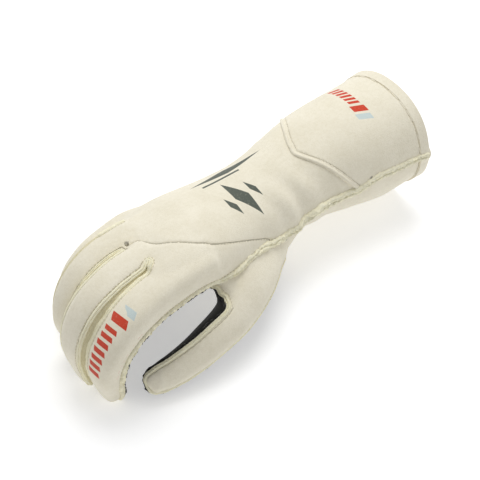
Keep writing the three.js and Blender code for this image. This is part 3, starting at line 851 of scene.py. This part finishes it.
class SeamLine:
    """A run of points along a seam, evenly spaced and eased, with the skin's normals."""

    SPACING = 0.8 * MM

    def __init__(self, verts):
        points = np.array([vert.co for vert in verts])
        normals = np.array([vert.normal for vert in verts])
        self.set(points, normals)
        self.ease(3)

    def set(self, points, normals):
        along = lengths(points)
        count = max(int(along[-1] / self.SPACING), 4)
        at = np.linspace(0, along[-1], count + 1)
        self.points, self.normals = read_at(at, along, points), unit(read_at(at, along, normals))

    def ease(self, times):
        for values, rounds in ((self.points, times), (self.normals, times * 4)):
            for _ in range(rounds):
                values[1:-1] = (values[:-2] + 2 * values[1:-1] + values[2:]) / 4
        self.normals = unit(self.normals)

    def above(self, height):
        """The line without its ends that lie lower than height over the floor."""
        keep = np.flatnonzero(self.points[:, 2] > height)
        if len(keep):
            self.points = self.points[keep[0] : keep[-1] + 1]
            self.normals = self.normals[keep[0] : keep[-1] + 1]
        return self

    def moved(self, tree, aside):
        """The same line moved aside along the skin."""
        tangent = unit(np.gradient(self.points, axis=0))
        other = SeamLine.__new__(SeamLine)
        wanted = self.points + np.cross(self.normals, tangent) * aside
        found = [tree.find_nearest(Vector(point)) for point in wanted]
        other.set(np.array([hit[0] for hit in found]), np.array([hit[1] for hit in found]))
        other.ease(3)
        return other


# Section of a raised seam: across and up, in shares of its half width and height
WELT_SECTION = [
    (-0.9, -0.5),
    (-1.05, 0.15),
    (-0.85, 0.7),
    (-0.5, 0.98),
    (-0.14, 0.86),
    (0.0, 0.62),
    (0.14, 0.86),
    (0.5, 1.0),
    (0.85, 0.72),
    (1.05, 0.15),
    (0.9, -0.5),
]


def swept(bm, line, section, half_width, height, fibres_at, seed, widen=None):
    """A section swept along a seam line, with ragged fibrous edges."""
    points, normals = line.points, line.normals
    places = to_table(points)[:, 0]
    ragged_rows = look_up(fibres_at, places)
    tangent = unit(np.gradient(points, axis=0))
    side = unit(np.cross(normals, tangent))
    rows = len(points)
    shape = np.array([*section, section[0]], float)
    ends = np.minimum(np.arange(rows), np.arange(rows)[::-1]) / 3
    taper = np.sqrt(np.clip(ends, 0.02, 1))
    rough = np.empty((rows, len(shape), 2))
    for row, ragged in enumerate(ragged_rows):
        for column in range(len(shape)):
            place = Vector((row * 0.45, (column % (len(shape) - 1)) * 0.8, seed * 7.7))
            slow = Vector((row * 0.08, seed * 3.1, 0.5))
            rough[row, column] = (
                noise.noise(place) * ragged + noise.noise(slow) * ragged * 0.8,
                noise.noise(place + Vector((9.2, 4.1, 0))) * ragged * 0.8,
            )
    if widen is not None:
        taper = taper * look_up(widen, places)
    across = (shape[:, 0] + rough[..., 0]) * half_width * taper[:, None]
    up = (shape[:, 1] + rough[..., 1] * (shape[:, 1] > 0)) * height * taper[:, None]
    across[:, -1], up[:, -1] = across[:, 0], up[:, 0]
    laid = points[:, None] + across[..., None] * side[:, None] + up[..., None] * normals[:, None]
    laid_tube(bm, laid)


def stitch_row(bm, line, length, gap, radius, lift):
    """A row of short thread stitches along a seam line."""
    along = lengths(line.points)
    angle = np.linspace(0, 2 * math.pi, 6)
    rise = np.array([-0.9, 1, 1, -0.9])[:, None] * lift
    thick = np.array([0.45, 1, 1, 0.45])[:, None] * radius
    for start in np.arange(gap, along[-1] - length, length + gap):
        at = np.linspace(start, start + length, len(rise))
        centre, normal = (read_at(at, along, values) for values in (line.points, line.normals))
        normal = unit(normal)
        side = unit(np.cross(normal, unit(np.gradient(centre, axis=0))))
        ring = centre[:, None] + (rise * normal)[:, None]
        ring = ring + (thick * np.cos(angle))[..., None] * side[:, None]
        ring = ring + (thick * np.sin(angle))[..., None] * normal[:, None]
        laid_tube(bm, ring)


def linear(colour):
    """A display colour as a linear one."""
    part = lambda v: v / 12.92 if v <= 0.04045 else ((v + 0.055) / 1.055) ** 2.4
    return (*(part(v) for v in colour[:3]), 1.0)


class Nodes:
    """Short ways to add and link nodes of one tree."""

    def __init__(self, tree):
        self.tree = tree

    def add(self, kind, **inputs):
        settings = inputs.pop("settings", {})
        node = self.tree.nodes.new(kind)
        for name, value in settings.items():
            setattr(node, name, value)
        for key, value in inputs.items():
            self.feed(node.inputs[key.replace("_", " ")], value)
        return node

    def feed(self, socket, value):
        if isinstance(value, bpy.types.NodeSocket):
            self.tree.links.new(value, socket)
        else:
            socket.default_value = value

    def math(self, operation, *values):
        node = self.tree.nodes.new("ShaderNodeMath")
        node.operation = operation
        for socket, value in zip(node.inputs, values):
            self.feed(socket, value)
        return node.outputs[0]

    def vector(self, operation, one, other):
        node = self.tree.nodes.new("ShaderNodeVectorMath")
        node.operation = operation
        self.feed(node.inputs[0], one)
        self.feed(node.inputs[1], other)
        return node.outputs["Value" if operation == "DOT_PRODUCT" else "Vector"]

    def mix(self, factor, one, other):
        node = self.tree.nodes.new("ShaderNodeMix")
        node.data_type = "RGBA"
        for name, value in (("Factor_Float", factor), ("A_Color", one), ("B_Color", other)):
            socket = next(item for item in node.inputs if item.identifier == name)
            self.feed(socket, value)
        return next(item for item in node.outputs if item.identifier == "Result_Color")

    def noise(self, vector, scale, detail=2.0, roughness=0.5):
        return self.add(
            "ShaderNodeTexNoise",
            Vector=vector,
            Scale=scale,
            Detail=detail,
            Roughness=roughness,
        ).outputs[0]

    def mapped(self, vector, low, high, to_low, to_high):
        node = self.tree.nodes.new("ShaderNodeMapRange")
        for socket, value in zip(node.inputs, (vector, low, high, to_low, to_high)):
            self.feed(socket, value)
        return node.outputs[0]


def group(name):
    """A shader node group of the table GROUPS, built once."""
    made = bpy.data.node_groups.get(name)
    if made:
        return made
    inputs, outputs, build = GROUPS[name]
    made = bpy.data.node_groups.new(name, "ShaderNodeTree")
    for label, kind, default in inputs:
        socket = made.interface.new_socket(label, in_out="INPUT", socket_type=kind)
        if default is not None:
            socket.default_value = default
    for label, kind in outputs:
        made.interface.new_socket(label, in_out="OUTPUT", socket_type=kind)
    nodes = Nodes(made)
    given, given_out = made.nodes.new("NodeGroupInput"), made.nodes.new("NodeGroupOutput")
    for label, value in build(nodes, given.outputs).items():
        nodes.feed(given_out.inputs[label], value)
    return made


FLOAT, COLOUR, VECTOR = "NodeSocketFloat", "NodeSocketColor", "NodeSocketVector"


def knit(nodes, given):
    """Fine knitted cloth: small loops, a soft mottle and a fuzzy nap."""
    place, size = given["Vector"], given["Loop size"]
    scale = nodes.math("DIVIDE", 1.0, size)
    loops = nodes.add("ShaderNodeTexVoronoi", Vector=place, Scale=scale, Randomness=0.65)
    nap = nodes.noise(place, nodes.math("MULTIPLY", scale, 1.7), 3.0, 0.7)
    mottle = nodes.noise(place, 55.0, 3.0, 0.55)
    spots = nodes.noise(place, 420.0, 2.0, 0.6)
    shade = nodes.mapped(mottle, 0.3, 0.7, 0.0, 0.5)
    shade = nodes.math("ADD", shade, nodes.mapped(spots, 0.35, 0.7, 0.0, 0.35))
    shade = nodes.math("ADD", shade, nodes.mapped(loops.outputs[0], 0.1, 0.8, 0.0, 0.35))
    colour = nodes.mix(shade, given["Light"], given["Dark"])
    height = nodes.math("MULTIPLY", loops.outputs[0], -1.0)
    height = nodes.math("ADD", height, nodes.math("MULTIPLY", nap, given["Fuzz"]))
    rough = nodes.mapped(spots, 0.3, 0.7, 0.86, 0.98)
    return {"Color": colour, "Height": height, "Roughness": rough}


def fibres(nodes, given):
    """Cut cloth edges and thread: short fibres lying along a seam."""
    place = given["Vector"]
    streaks = nodes.noise(place, given["Density"], 4.0, 0.75)
    coarse = nodes.noise(place, 160.0, 2.0, 0.5)
    shade = nodes.mapped(streaks, 0.38, 0.66, 0.0, 1.0)
    colour = nodes.mix(shade, given["Dark"], given["Light"])
    tint = nodes.mapped(coarse, 0.35, 0.65, 0.0, 0.4)
    colour = nodes.mix(tint, colour, given["Dark"])
    height = nodes.math("ADD", streaks, nodes.math("MULTIPLY", coarse, 0.5))
    return {"Color": colour, "Height": height}


def bar(nodes, given):
    """A slanting bar: 1 inside its outline, 0 outside."""
    place = nodes.add("ShaderNodeSeparateXYZ", Vector=given["Vector"]).outputs
    across = nodes.math("SUBTRACT", place[0], given["Across"])
    up = nodes.math("SUBTRACT", place[1], given["Up"])
    across = nodes.math("SUBTRACT", across, nodes.math("MULTIPLY", up, given["Slant"]))
    across, up = nodes.math("ABSOLUTE", across), nodes.math("ABSOLUTE", up)
    inside = nodes.math(
        "MULTIPLY",
        nodes.math("LESS_THAN", across, given["Half width"]),
        nodes.math("LESS_THAN", up, given["Half height"]),
    )
    share = nodes.math(
        "ADD",
        nodes.math("DIVIDE", across, given["Half width"]),
        nodes.math("DIVIDE", up, given["Half height"]),
    )
    return {"Mask": nodes.math("MULTIPLY", inside, nodes.math("LESS_THAN", share, given["Corner"]))}


BAR_LABELS = ("Across", "Up", "Half width", "Half height", "Slant", "Corner")
CLOTH_INPUTS = [("Vector", VECTOR, None), ("Light", COLOUR, None), ("Dark", COLOUR, None)]
# Node groups: inputs with their defaults, outputs, and what builds them
GROUPS = {
    "Knit": (
        [*CLOTH_INPUTS, ("Loop size", FLOAT, 0.0008), ("Fuzz", FLOAT, 0.8)],
        [("Color", COLOUR), ("Height", FLOAT), ("Roughness", FLOAT)],
        knit,
    ),
    "Fibres": (
        [*CLOTH_INPUTS, ("Density", FLOAT, 1400.0)],
        [("Color", COLOUR), ("Height", FLOAT)],
        fibres,
    ),
    "Slanting bar": (
        [("Vector", VECTOR, None), *((label, FLOAT, 0.0) for label in BAR_LABELS)],
        [("Mask", FLOAT)],
        bar,
    ),
}


def placed(nodes, name, **inputs):
    """A node group set into a tree, with its inputs fed."""
    node = nodes.add("ShaderNodeGroup", settings={"node_tree": group(name)})
    for key, value in inputs.items():
        nodes.feed(node.inputs[key.replace("_", " ")], value)
    return node.outputs


# Printed marks: across, up, half width, half height in millimetres, slant, cut of the corners from
# 1, a lozenge, to 2, a whole bar, and colour. A print lies on a plane through its middle, or along
# its finger where it has no middle.
PRINTS = {
    "hand_back": {
        "middle": (-126, 2, 66),
        "across": (-1, 0, 0),
        "up": (0, 1, 0),
        "bars": [
            (0, 17, 29, 3.0, -0.06, 1, "print_dark"),
            (8, 11.5, 15, 0.8, 0, 2, "print_dark"),
            (7, -10, 5.4, 17, 0.3, 1, "print_dark"),
            (-3.5, -8, 2.2, 8, 0.3, 1, "print_dark"),
            (17, -14, 2.6, 8, 0.3, 1, "print_dark"),
        ],
    },
    "index_back": {
        "bars": [
            (3.0, 67, 3.2, 2.0, 0.8, 2, "print_pale"),
            (0.8, 73, 5.2, 2.3, 0.8, 2, "print_red"),
            *((-0.4, 79.5 + 4.2 * k, 3.4, 1.25, 0.6, 2, "print_red") for k in range(7)),
        ],
    },
    "overlay": {
        "middle": (-29, 6, 75),
        "across": (0, -1, 0),
        "up": (1, 0, 0),
        "bars": [
            *((-20 + 4.1 * k, 0, 1.3, 3.4, 0.5, 2, "print_red") for k in range(6)),
            (7, -0.5, 2.9, 4.4, 0.5, 2, "print_red"),
            (14, -1.5, 2.4, 4.6, 0.5, 2, "print_pale"),
        ],
    },
}


# How far from its plane a print reaches, in metres
PRINT_DEPTH = 0.018


def printed_on(nodes, place, spec, colour):
    """The cloth's colour with a print's bars over it."""
    flat = nodes.add("ShaderNodeAttribute", settings={"attribute_name": "place"}).outputs["Vector"]
    near = 1.0
    if "middle" in spec:
        across, up = (unit(np.array(spec[key], float)) for key in ("across", "up"))
        shifted = nodes.vector("SUBTRACT", place, from_table(np.array(spec["middle"], float)))
        ways = (across, up, np.cross(across, up))
        parts = [nodes.vector("DOT_PRODUCT", shifted, way) for way in ways]
        joined = nodes.add("ShaderNodeCombineXYZ")
        nodes.feed(joined.inputs[0], parts[0])
        nodes.feed(joined.inputs[1], parts[1])
        flat = joined.outputs[0]
        near = nodes.math("LESS_THAN", nodes.math("ABSOLUTE", parts[2]), PRINT_DEPTH)
    worn = nodes.mapped(nodes.noise(place, 700.0, 3.0, 0.7), 0.25, 0.42, 0.8, 1.0)
    worn = nodes.math("MULTIPLY", worn, near)
    for *values, ink in spec["bars"]:
        bar_sizes = [value * MM for value in values[:4]] + values[4:]
        made = placed(nodes, "Slanting bar", Vector=flat, **dict(zip(BAR_LABELS, bar_sizes)))
        mask = nodes.math("MULTIPLY", made["Mask"], worn)
        colour = nodes.mix(mask, colour, linear(getattr(colours(), ink)))
    return colour


def material(name, build, **constants):
    """A material built once: its nodes, and the constants on its shader's own sockets."""
    known = bpy.data.materials.get(name)
    if known:
        return known
    made = bpy.data.materials.new(name)
    made.use_nodes = True
    nodes = Nodes(made.node_tree)
    shader = made.node_tree.nodes["Principled BSDF"]
    for socket, value in constants.items():
        shader.inputs[socket.replace("_", " ")].default_value = value
    build(nodes, shader, nodes.add("ShaderNodeTexCoord").outputs["Object"])
    return made


def bump(nodes, shader, height, strength, distance):
    node = nodes.add("ShaderNodeBump", Strength=strength, Distance=distance, Height=height)
    nodes.feed(shader.inputs["Normal"], node.outputs[0])


def back_cloth(printed=None):
    """Cream knitted cloth, darkened with painted shade in its sewn creases, with a panel's printed
    marks.
    """

    def build(nodes, shader, place):
        light, dark = linear(colours().cloth_light), linear(colours().cloth_dark)
        weave = placed(
            nodes, "Knit", Vector=place, Light=light, Dark=dark, Loop_size=0.0009, Fuzz=0.8
        )
        # Painted shade in the sewn creases: the cloth is darkened towards the crease shade colour
        # there
        sewn = nodes.add("ShaderNodeAttribute", settings={"attribute_name": "sewn"}).outputs["Fac"]
        sewn = nodes.mapped(sewn, 0.3, 1.0, 0.0, 0.7)
        colour = nodes.mix(sewn, weave["Color"], linear(colours().crease_shade))
        if printed:
            colour = printed_on(nodes, place, PRINTS[printed], colour)
        nodes.feed(shader.inputs["Base Color"], colour)
        nodes.feed(shader.inputs["Roughness"], weave["Roughness"])
        bump(nodes, shader, weave["Height"], 0.35, 0.0004)

    name = f"Cloth printed {printed}" if printed else "Cloth"
    return material(name, build, Specular_IOR_Level=0.2, Sheen_Weight=0.25, Sheen_Roughness=0.6)


def fibre_material(name, light, dark, density=1400.0):
    """Cut edges and thread: short fibres in two colours."""

    def build(nodes, shader, place):
        light_to, dark_to = linear(light), linear(dark)
        fuzz = placed(nodes, "Fibres", Vector=place, Light=light_to, Dark=dark_to, Density=density)
        nodes.feed(shader.inputs["Base Color"], fuzz["Color"])
        bump(nodes, shader, fuzz["Height"], 0.8, 0.0005)

    return material(name, build, Roughness=0.95, Specular_IOR_Level=0.15)


def suede():
    """Black suede with a brushed nap."""

    def build(nodes, shader, place):
        nap = nodes.noise(place, 1500.0, 4.0, 0.7)
        brushed = nodes.noise(place, 90.0, 3.0, 0.6)
        shade = nodes.math("MULTIPLY", nodes.mapped(nap, 0.3, 0.7, 0.2, 1.0), brushed)
        dark = linear(colours().suede)
        light = linear([v * 1.9 + 0.02 for v in colours().suede])
        nodes.feed(shader.inputs["Base Color"], nodes.mix(shade, dark, light))
        bump(nodes, shader, nap, 0.5, 0.0003)

    return material("Suede", build, Roughness=0.95, Specular_IOR_Level=0.25, Sheen_Weight=0.15)


def welt_cloth():
    return fibre_material("Raised seam", colours().welt_light, colours().welt_dark)


def gusset_cloth():
    return fibre_material("Gusset cloth", colours().gusset_light, colours().gusset_dark)


def belongs(piece, look, *nodes, slot):
    """Gives a piece its material and its body, and hides the CAD nodes that it stands for."""
    piece.data.materials.clear()
    piece.data.materials.append(look)
    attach(piece, "root")
    if nodes:
        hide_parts(*nodes)


def finished(name, bm, sharp_degrees, look, *nodes, slot):
    """Makes a piece of what was built in a mesh."""
    bmesh.ops.recalc_face_normals(bm, faces=bm.faces)
    piece = new_object(name, bm)
    smooth_shaded(piece, sharp_degrees)
    belongs(piece, look, *nodes, slot=slot)


def length(name, description, default):
    return FloatProperty(name=name, description=description, default=default, unit="LENGTH")


def tone(name, description, default):
    return FloatVectorProperty(
        name=name,
        description=description,
        default=default,
        size=3,
        min=0,
        max=1,
        subtype="COLOR_GAMMA",
    )


class GloveSizes(bpy.types.PropertyGroup):
    wall: length("Cloth wall", "Thickness of the sewn cloth", 0.0016)
    mesh_size: length("Mesh size", "Spacing of the form's even mesh", 0.0014)
    hem_width: length("Hem width", "Width of the stitched hem round the mouth", 0.0065)
    welt_width: length("Raised seam width", "Width of the raised outside seams", 0.0032)
    welt_height: length("Raised seam height", "How far raised seams stand over the cloth", 0.0017)
    stitch: length("Stitch length", "Length of one thread stitch", 0.0021)


class GloveColours(bpy.types.PropertyGroup):
    cloth_light: tone("Cloth, light", "Cream cloth", (0.965, 0.94, 0.865))
    cloth_dark: tone("Cloth, dark", "Cream cloth between its loops", (0.91, 0.88, 0.79))
    welt_light: tone("Raised seam, light", "Outer fibres", (1.0, 0.985, 0.905))
    welt_dark: tone("Raised seam, dark", "Inner fibres", (0.965, 0.94, 0.81))
    gusset_light: tone("Gusset, light", "Cloth between the fingers", (0.93, 0.905, 0.79))
    gusset_dark: tone("Gusset, dark", "Its shaded loops", (0.83, 0.79, 0.64))
    suede: tone("Suede", "Palm and thumb front", (0.1, 0.098, 0.09))
    thread: tone("Thread", "Stitching thread", (0.78, 0.755, 0.67))
    # Colour of the painted shade laid into the sewn creases
    crease_shade: tone("Sewn crease", "Cloth drawn in under its stitches", (0.5, 0.48, 0.41))
    print_dark: tone("Dark print", "Bars on the back", (0.345, 0.37, 0.33))
    print_red: tone("Red print", "Bars on finger and cuff", (0.82, 0.26, 0.15))
    print_pale: tone("Pale print", "Accent bar beside the red ones", (0.8, 0.85, 0.84))


BACKS = {"hand_back", "index_back", "overlay", "hem_back"}
UNDERS = {"palm", "thumb_back", "cuff_under", "hem_under"}
HEM = {"hem_back", "hem_under"}
# The number in a gusset panel's name is the sum of the numbers of its two fingers
GUSSET_PANELS = {"index_middle": "gusset1", "middle_ring": "gusset3", "ring_little": "gusset5"}
# Seams: the panels on one side, those on the other, and the side of the glove, -1 inner or 1 outer
SEAMS = {
    "side_inner": (BACKS, UNDERS, -1),
    "side_outer": (BACKS, UNDERS, 1),
    **{f"finger_{pair}": (BACKS, {panel}, 0) for pair, panel in GUSSET_PANELS.items()},
    "thumb": ({"thumb_back"}, {"thumb_front", "palm"}, 0),
    "hem": ({"overlay", "cuff_under", "hand_back"}, HEM, 0),
    "overlay": ({"overlay"}, {"hand_back"}, 0),
    "panel": ({"index_back"}, {"hand_back"}, 0),
    "index": ({"index_back"}, {"palm"}, -1),
}


def cut_out(node, name, panels, look, thicker=0, lift=0):
    """Makes a piece of the form's panels. Its wall may be thicker than the cloth's, and lifted."""
    piece = Form.get().piece(name, panels, sizes().wall + thicker, lift)
    belongs(piece, look, node, slot=node)
    return piece


class GLOVE_OT_backs(bpy.types.Operator):
    """Back panels of the hand and fingers, with the fold where they meet"""

    bl_idname = "glove.backs"
    bl_label = "Back panels"

    def execute(self, context):
        cut_out("hand_back", "hand_back_cloth", {"hand_back"}, back_cloth("hand_back"))
        piece = cut_out("index_back", "index_back_cloth", {"index_back"}, back_cloth("index_back"))
        Form.unroll(piece, LIMBS["index"])
        return {"FINISHED"}


class GLOVE_OT_palm(bpy.types.Operator):
    """Black suede palm with the finger fronts"""

    bl_idname = "glove.palm"
    bl_label = "Palm"

    def execute(self, context):
        cut_out("palm", "palm_suede", {"palm"}, suede())
        return {"FINISHED"}


class GLOVE_OT_thumb(bpy.types.Operator):
    """Cream outer half and suede inner half of the thumb"""

    bl_idname = "glove.thumb"
    bl_label = "Thumb"

    def execute(self, context):
        cut_out("thumb_back", "thumb_back_cloth", {"thumb_back"}, back_cloth())
        cut_out("thumb_front", "thumb_front_suede", {"thumb_front"}, suede())
        return {"FINISHED"}


class GLOVE_OT_gussets(bpy.types.Operator):
    """Side walls between the fingers"""

    bl_idname = "glove.gussets"
    bl_label = "Gussets"

    def execute(self, context):
        for pair, panel in GUSSET_PANELS.items():
            cut_out(f"gusset_{pair}", f"gusset_{pair}_cloth", {panel}, gusset_cloth())
        return {"FINISHED"}


# In metres: the overlay lies over the cuff, and the hem is folded over the mouth
OVERLAY_THICKER, OVERLAY_LIFT = 6e-4, 6e-4
HEM_THICKER, HEM_LIFT = 18e-4, 9e-4


class GLOVE_OT_cuff(bpy.types.Operator):
    """Gauntlet: shaped overlay, underside and hem band"""

    bl_idname = "glove.cuff"
    bl_label = "Cuff"

    def execute(self, context):
        look = back_cloth("overlay")
        cut_out(
            "cuff_back", "cuff_overlay_cloth", {"overlay"}, look, OVERLAY_THICKER, OVERLAY_LIFT
        )
        cut_out("cuff_under", "cuff_under_cloth", {"cuff_under"}, back_cloth())
        cut_out("cuff_hem", "cuff_hem_band", HEM, back_cloth(), HEM_THICKER, HEM_LIFT)
        return {"FINISHED"}


# Raised seams and the seam that each follows
WELTS = {
    "side_welt_inner": "side_inner",
    "side_welt_outer": "side_outer",
    **{f"finger_welt_{pair}": f"finger_{pair}" for pair in GUSSET_PANELS},
    "thumb_welt": "thumb",
}
# The inner side seam is broadest at the wrist: x, share of its width
WRIST_WELT = [
    (-290, 1.25),
    (-220, 1.25),
    (-190, 1.15),
    (-118, 1.6),
    (-88, 1.9),
    (-66, 1.65),
    (-40, 1.6),
    (-20, 1.6),
    (0, 1.3),
]
# It is most ragged along the index finger: x, size of its fibres
SIDE_FIBRES = [(-290, 0.65), (-215, 0.58), (-190, 0.42), (0, 0.36)]
FINGER_FIBRES = [(-290, 0.16), (0, 0.14)]
SLIM_WELT = 0.72


class GLOVE_OT_welts(bpy.types.Operator):
    """Raised outside seams, swept along the edges of the panels"""

    bl_idname = "glove.welts"
    bl_label = "Raised seams"

    def execute(self, context):
        half, height = sizes().welt_width / 2, sizes().welt_height
        for seed, (node, seam) in enumerate(WELTS.items(), 1):
            line = Form.get().seam(*SEAMS[seam]).above(0.0008)
            bm = bmesh.new()
            slim = SLIM_WELT if node == "finger_welt_middle_ring" else 1.0
            widen = WRIST_WELT if node == "side_welt_inner" else None
            ragged = SIDE_FIBRES if "side" in node else FINGER_FIBRES
            swept(bm, line, WELT_SECTION, half * slim, height * slim, ragged, seed, widen)
            finished(f"{node}_cloth", bm, 80, welt_cloth(), node, slot=node)
        return {"FINISHED"}


# Rows of stitches: the seam that each follows, and its offset from it in metres
STITCH_ROWS = {
    "finger_index_middle": 0.0024,
    "finger_middle_ring": 0.0019,
    "finger_ring_little": 0.0019,
    "side_inner": 0.0025,
    "side_outer": 0.0025,
    "thumb": 0.0026,
    "hem": 0.0005,
    "overlay": 0.0026,
    "panel": 0.0009,
}
STITCH_GAP, STITCH_RADIUS, STITCH_LIFT = 0.0005, 0.00022, 0.00012
# Section of a turned cloth edge: across and up
ROLL_SECTION = [
    (-1.0, -0.4),
    (-0.95, 0.45),
    (-0.5, 0.92),
    (0.0, 1.0),
    (0.5, 0.92),
    (0.95, 0.45),
    (1.0, -0.4),
]
# Seams beside which the palm's cut edge shows black, and how far from them, in metres
SUEDE_EDGES = ("index", "thumb")
SUEDE_ASIDE = 0.0021
# Half width, height and size of fibres of both kinds of edge
OVERLAY_ROLL = (0.0013, 0.0015, [(0, 0.08)])
SUEDE_ROLL = (0.0010, 0.0014, [(0, 0.9)])


class GLOVE_OT_edges(bpy.types.Operator):
    """Turned edge of the cuff's overlay, and the cut edges of the suede"""

    bl_idname = "glove.edges"
    bl_label = "Turned edges"

    def execute(self, context):
        form = Form.get()
        line = form.seam(*SEAMS["overlay"])
        bm = bmesh.new()
        swept(bm, line, ROLL_SECTION, *OVERLAY_ROLL, 21)
        finished("cuff_overlay_edge", bm, 80, back_cloth(), slot="cuff_back")
        for seed, seam in enumerate(SUEDE_EDGES, 31):
            line = form.seam(*SEAMS[seam]).above(0.003)
            line = line.moved(form.tree, form.towards(line, SEAMS[seam][1]) * SUEDE_ASIDE)
            bm = bmesh.new()
            swept(bm, line, ROLL_SECTION, *SUEDE_ROLL, seed)
            finished(f"suede_edge_{seam}", bm, 80, suede(), slot="palm")
        return {"FINISHED"}


# Bar tacks where rows of stitches end: place on the skin and the way they lie
BAR_TACKS = [
    ((-218, 4.2, 71.5), (0.6, 1, 0)),
    ((-117, -34.9, 38.5), (0.3, 0, 1)),
    ((-46, -36, 50), (1, 0, 0.5)),
]
TACK_THREADS = 5
TACK_SPACING = 0.00055
TACK_LIFT = 0.0003
TACK_HALF_SIZES = (0.0017, 0.00034, 0.0005)


class GLOVE_OT_bar_tacks(bpy.types.Operator):
    """Short dense stitches that lock the ends of the sewn rows"""

    bl_idname = "glove.bar_tacks"
    bl_label = "Bar tacks"

    def execute(self, context):
        thread = fibre_material("Bar tack thread", (0.95, 0.94, 0.88), (0.55, 0.52, 0.45), 900.0)
        bm = bmesh.new()
        for place, way in BAR_TACKS:
            near = Vector(from_table(np.array(place, float)))
            hit, normal = Form.get().tree.find_nearest(near)[:2]
            along = Vector(way).normalized()
            along = (along - normal * along.dot(normal)).normalized()
            across = normal.cross(along)
            turn = Matrix((along, across, normal)).transposed().to_4x4()
            size = Matrix.Diagonal((*TACK_HALF_SIZES, 1))
            for k in range(TACK_THREADS):
                aside = (k - TACK_THREADS // 2) * TACK_SPACING
                at = Matrix.Translation(hit + across * aside + normal * TACK_LIFT)
                bmesh.ops.create_uvsphere(
                    bm, u_segments=10, v_segments=6, radius=1.0, matrix=at @ turn @ size
                )
        finished("bar_tacks", bm, 80, thread, slot="hand_back")
        return {"FINISHED"}


class GLOVE_OT_stitches(bpy.types.Operator):
    """Rows of thread beside the seams"""

    bl_idname = "glove.stitches"
    bl_label = "Stitching"

    def execute(self, context):
        form, colour = Form.get(), colours().thread
        thread = fibre_material("Thread", [v * 1.2 for v in colour], colour, 2600.0)
        for seam, aside in STITCH_ROWS.items():
            line = form.seam(*SEAMS[seam]).above(0.001)
            line = line.moved(form.tree, form.towards(line, SEAMS[seam][0]) * aside)
            bm = bmesh.new()
            stitch_row(bm, line, sizes().stitch, STITCH_GAP, STITCH_RADIUS, STITCH_LIFT)
            finished(f"stitches_{seam}", bm, 60, thread, slot="side_welt_inner")
        return {"FINISHED"}


# Lamps: place, size and power
LAMPS = {"overhead": ((0.35, 0.45, 1.12), 0.9, 10.8), "fill": ((0.95, -0.45, 0.65), 0.9, 0.5)}
# The camera looks at a point from an azimuth and an elevation in degrees, and sees this width
VIEW_CENTRE = (0.0249, 0.0325, -0.0111)
VIEW_AZIMUTH, VIEW_ELEVATION = -38, 50
VIEW_DISTANCE, VIEW_WIDTH = 3.0, 0.3216


class GLOVE_OT_stage(bpy.types.Operator):
    """Pale floor, soft lights and the camera"""

    bl_idname = "glove.stage"
    bl_label = "Studio"

    def execute(self, context):
        scene = context.scene
        bm = bmesh.new()
        bmesh.ops.create_grid(bm, x_segments=2, y_segments=2, size=6.0)
        bmesh.ops.translate(bm, verts=bm.verts, vec=(0, 0, -0.0004))
        made = material(
            "Floor",
            lambda *_: None,
            Base_Color=(0.8, 0.8, 0.8, 1),
            Emission_Color=(1, 1, 1, 1),
            Emission_Strength=0.42,
            Roughness=0.9,
            Specular_IOR_Level=0.1,
        )
        new_object("floor", bm, made)
        world = bpy.data.worlds.new("Studio")
        world.use_nodes = True
        colour, strength = world.node_tree.nodes["Background"].inputs[:2]
        colour.default_value, strength.default_value = (0.97, 0.98, 1.0, 1), 0.42
        scene.world = world
        scene.view_settings.view_transform = "Standard"
        for name, settings in LAMPS.items():
            self.softbox(name, *settings)
        self.camera(scene)
        return {"FINISHED"}

    def softbox(self, name, at, size, power):
        light = bpy.data.lights.new(name, "AREA")
        light.shape = "SQUARE"
        light.size = size
        light.energy = power
        lamp = bpy.data.objects.new(name, light)
        lamp.location = at
        lamp.rotation_euler = (-Vector(at)).to_track_quat("-Z", "Y").to_euler()
        bpy.context.scene.collection.objects.link(lamp)

    def camera(self, scene):
        azimuth, elevation = math.radians(VIEW_AZIMUTH), math.radians(VIEW_ELEVATION)
        flat = math.cos(elevation)
        back = Vector((math.sin(azimuth) * flat, -math.cos(azimuth) * flat, math.sin(elevation)))
        data = bpy.data.cameras.new("camera")
        data.sensor_width = 36
        data.lens = data.sensor_width * VIEW_DISTANCE / VIEW_WIDTH
        data.clip_start, data.clip_end = 0.05, 30
        camera = bpy.data.objects.new("camera", data)
        camera.location = Vector(VIEW_CENTRE) + back * VIEW_DISTANCE
        camera.rotation_euler = (-back).to_track_quat("-Z", "Y").to_euler()
        scene.collection.objects.link(camera)
        scene.camera = camera


OPERATORS = (
    GLOVE_OT_stage,
    GLOVE_OT_backs,
    GLOVE_OT_palm,
    GLOVE_OT_thumb,
    GLOVE_OT_gussets,
    GLOVE_OT_cuff,
    GLOVE_OT_edges,
    GLOVE_OT_bar_tacks,
    GLOVE_OT_welts,
    GLOVE_OT_stitches,
)


class GLOVE_PT_panel(bpy.types.Panel):
    """Lists the glove's sizes, colours and pieces"""

    bl_label = "Racing glove"
    bl_idname = "GLOVE_PT_panel"
    bl_space_type = "VIEW_3D"
    bl_region_type = "UI"
    bl_category = "Glove"

    def draw(self, context):
        for values in (context.scene.glove_sizes, context.scene.glove_colours):
            for name in values.__annotations__:
                self.layout.prop(values, name)
        for operator in OPERATORS:
            self.layout.operator(operator.bl_idname)


CLASSES = (GloveSizes, GloveColours, *OPERATORS, GLOVE_PT_panel)


def register():
    for item in CLASSES:
        bpy.utils.register_class(item)
    bpy.types.Scene.glove_sizes = PointerProperty(type=GloveSizes)
    bpy.types.Scene.glove_colours = PointerProperty(type=GloveColours)


def unregister():
    del bpy.types.Scene.glove_colours
    del bpy.types.Scene.glove_sizes
    for item in reversed(CLASSES):
        bpy.utils.unregister_class(item)


def main():
    register()
    for operator in OPERATORS:
        group_name, name = operator.bl_idname.split(".")
        getattr(getattr(bpy.ops, group_name), name)()


if __name__ == "__main__":
    main()
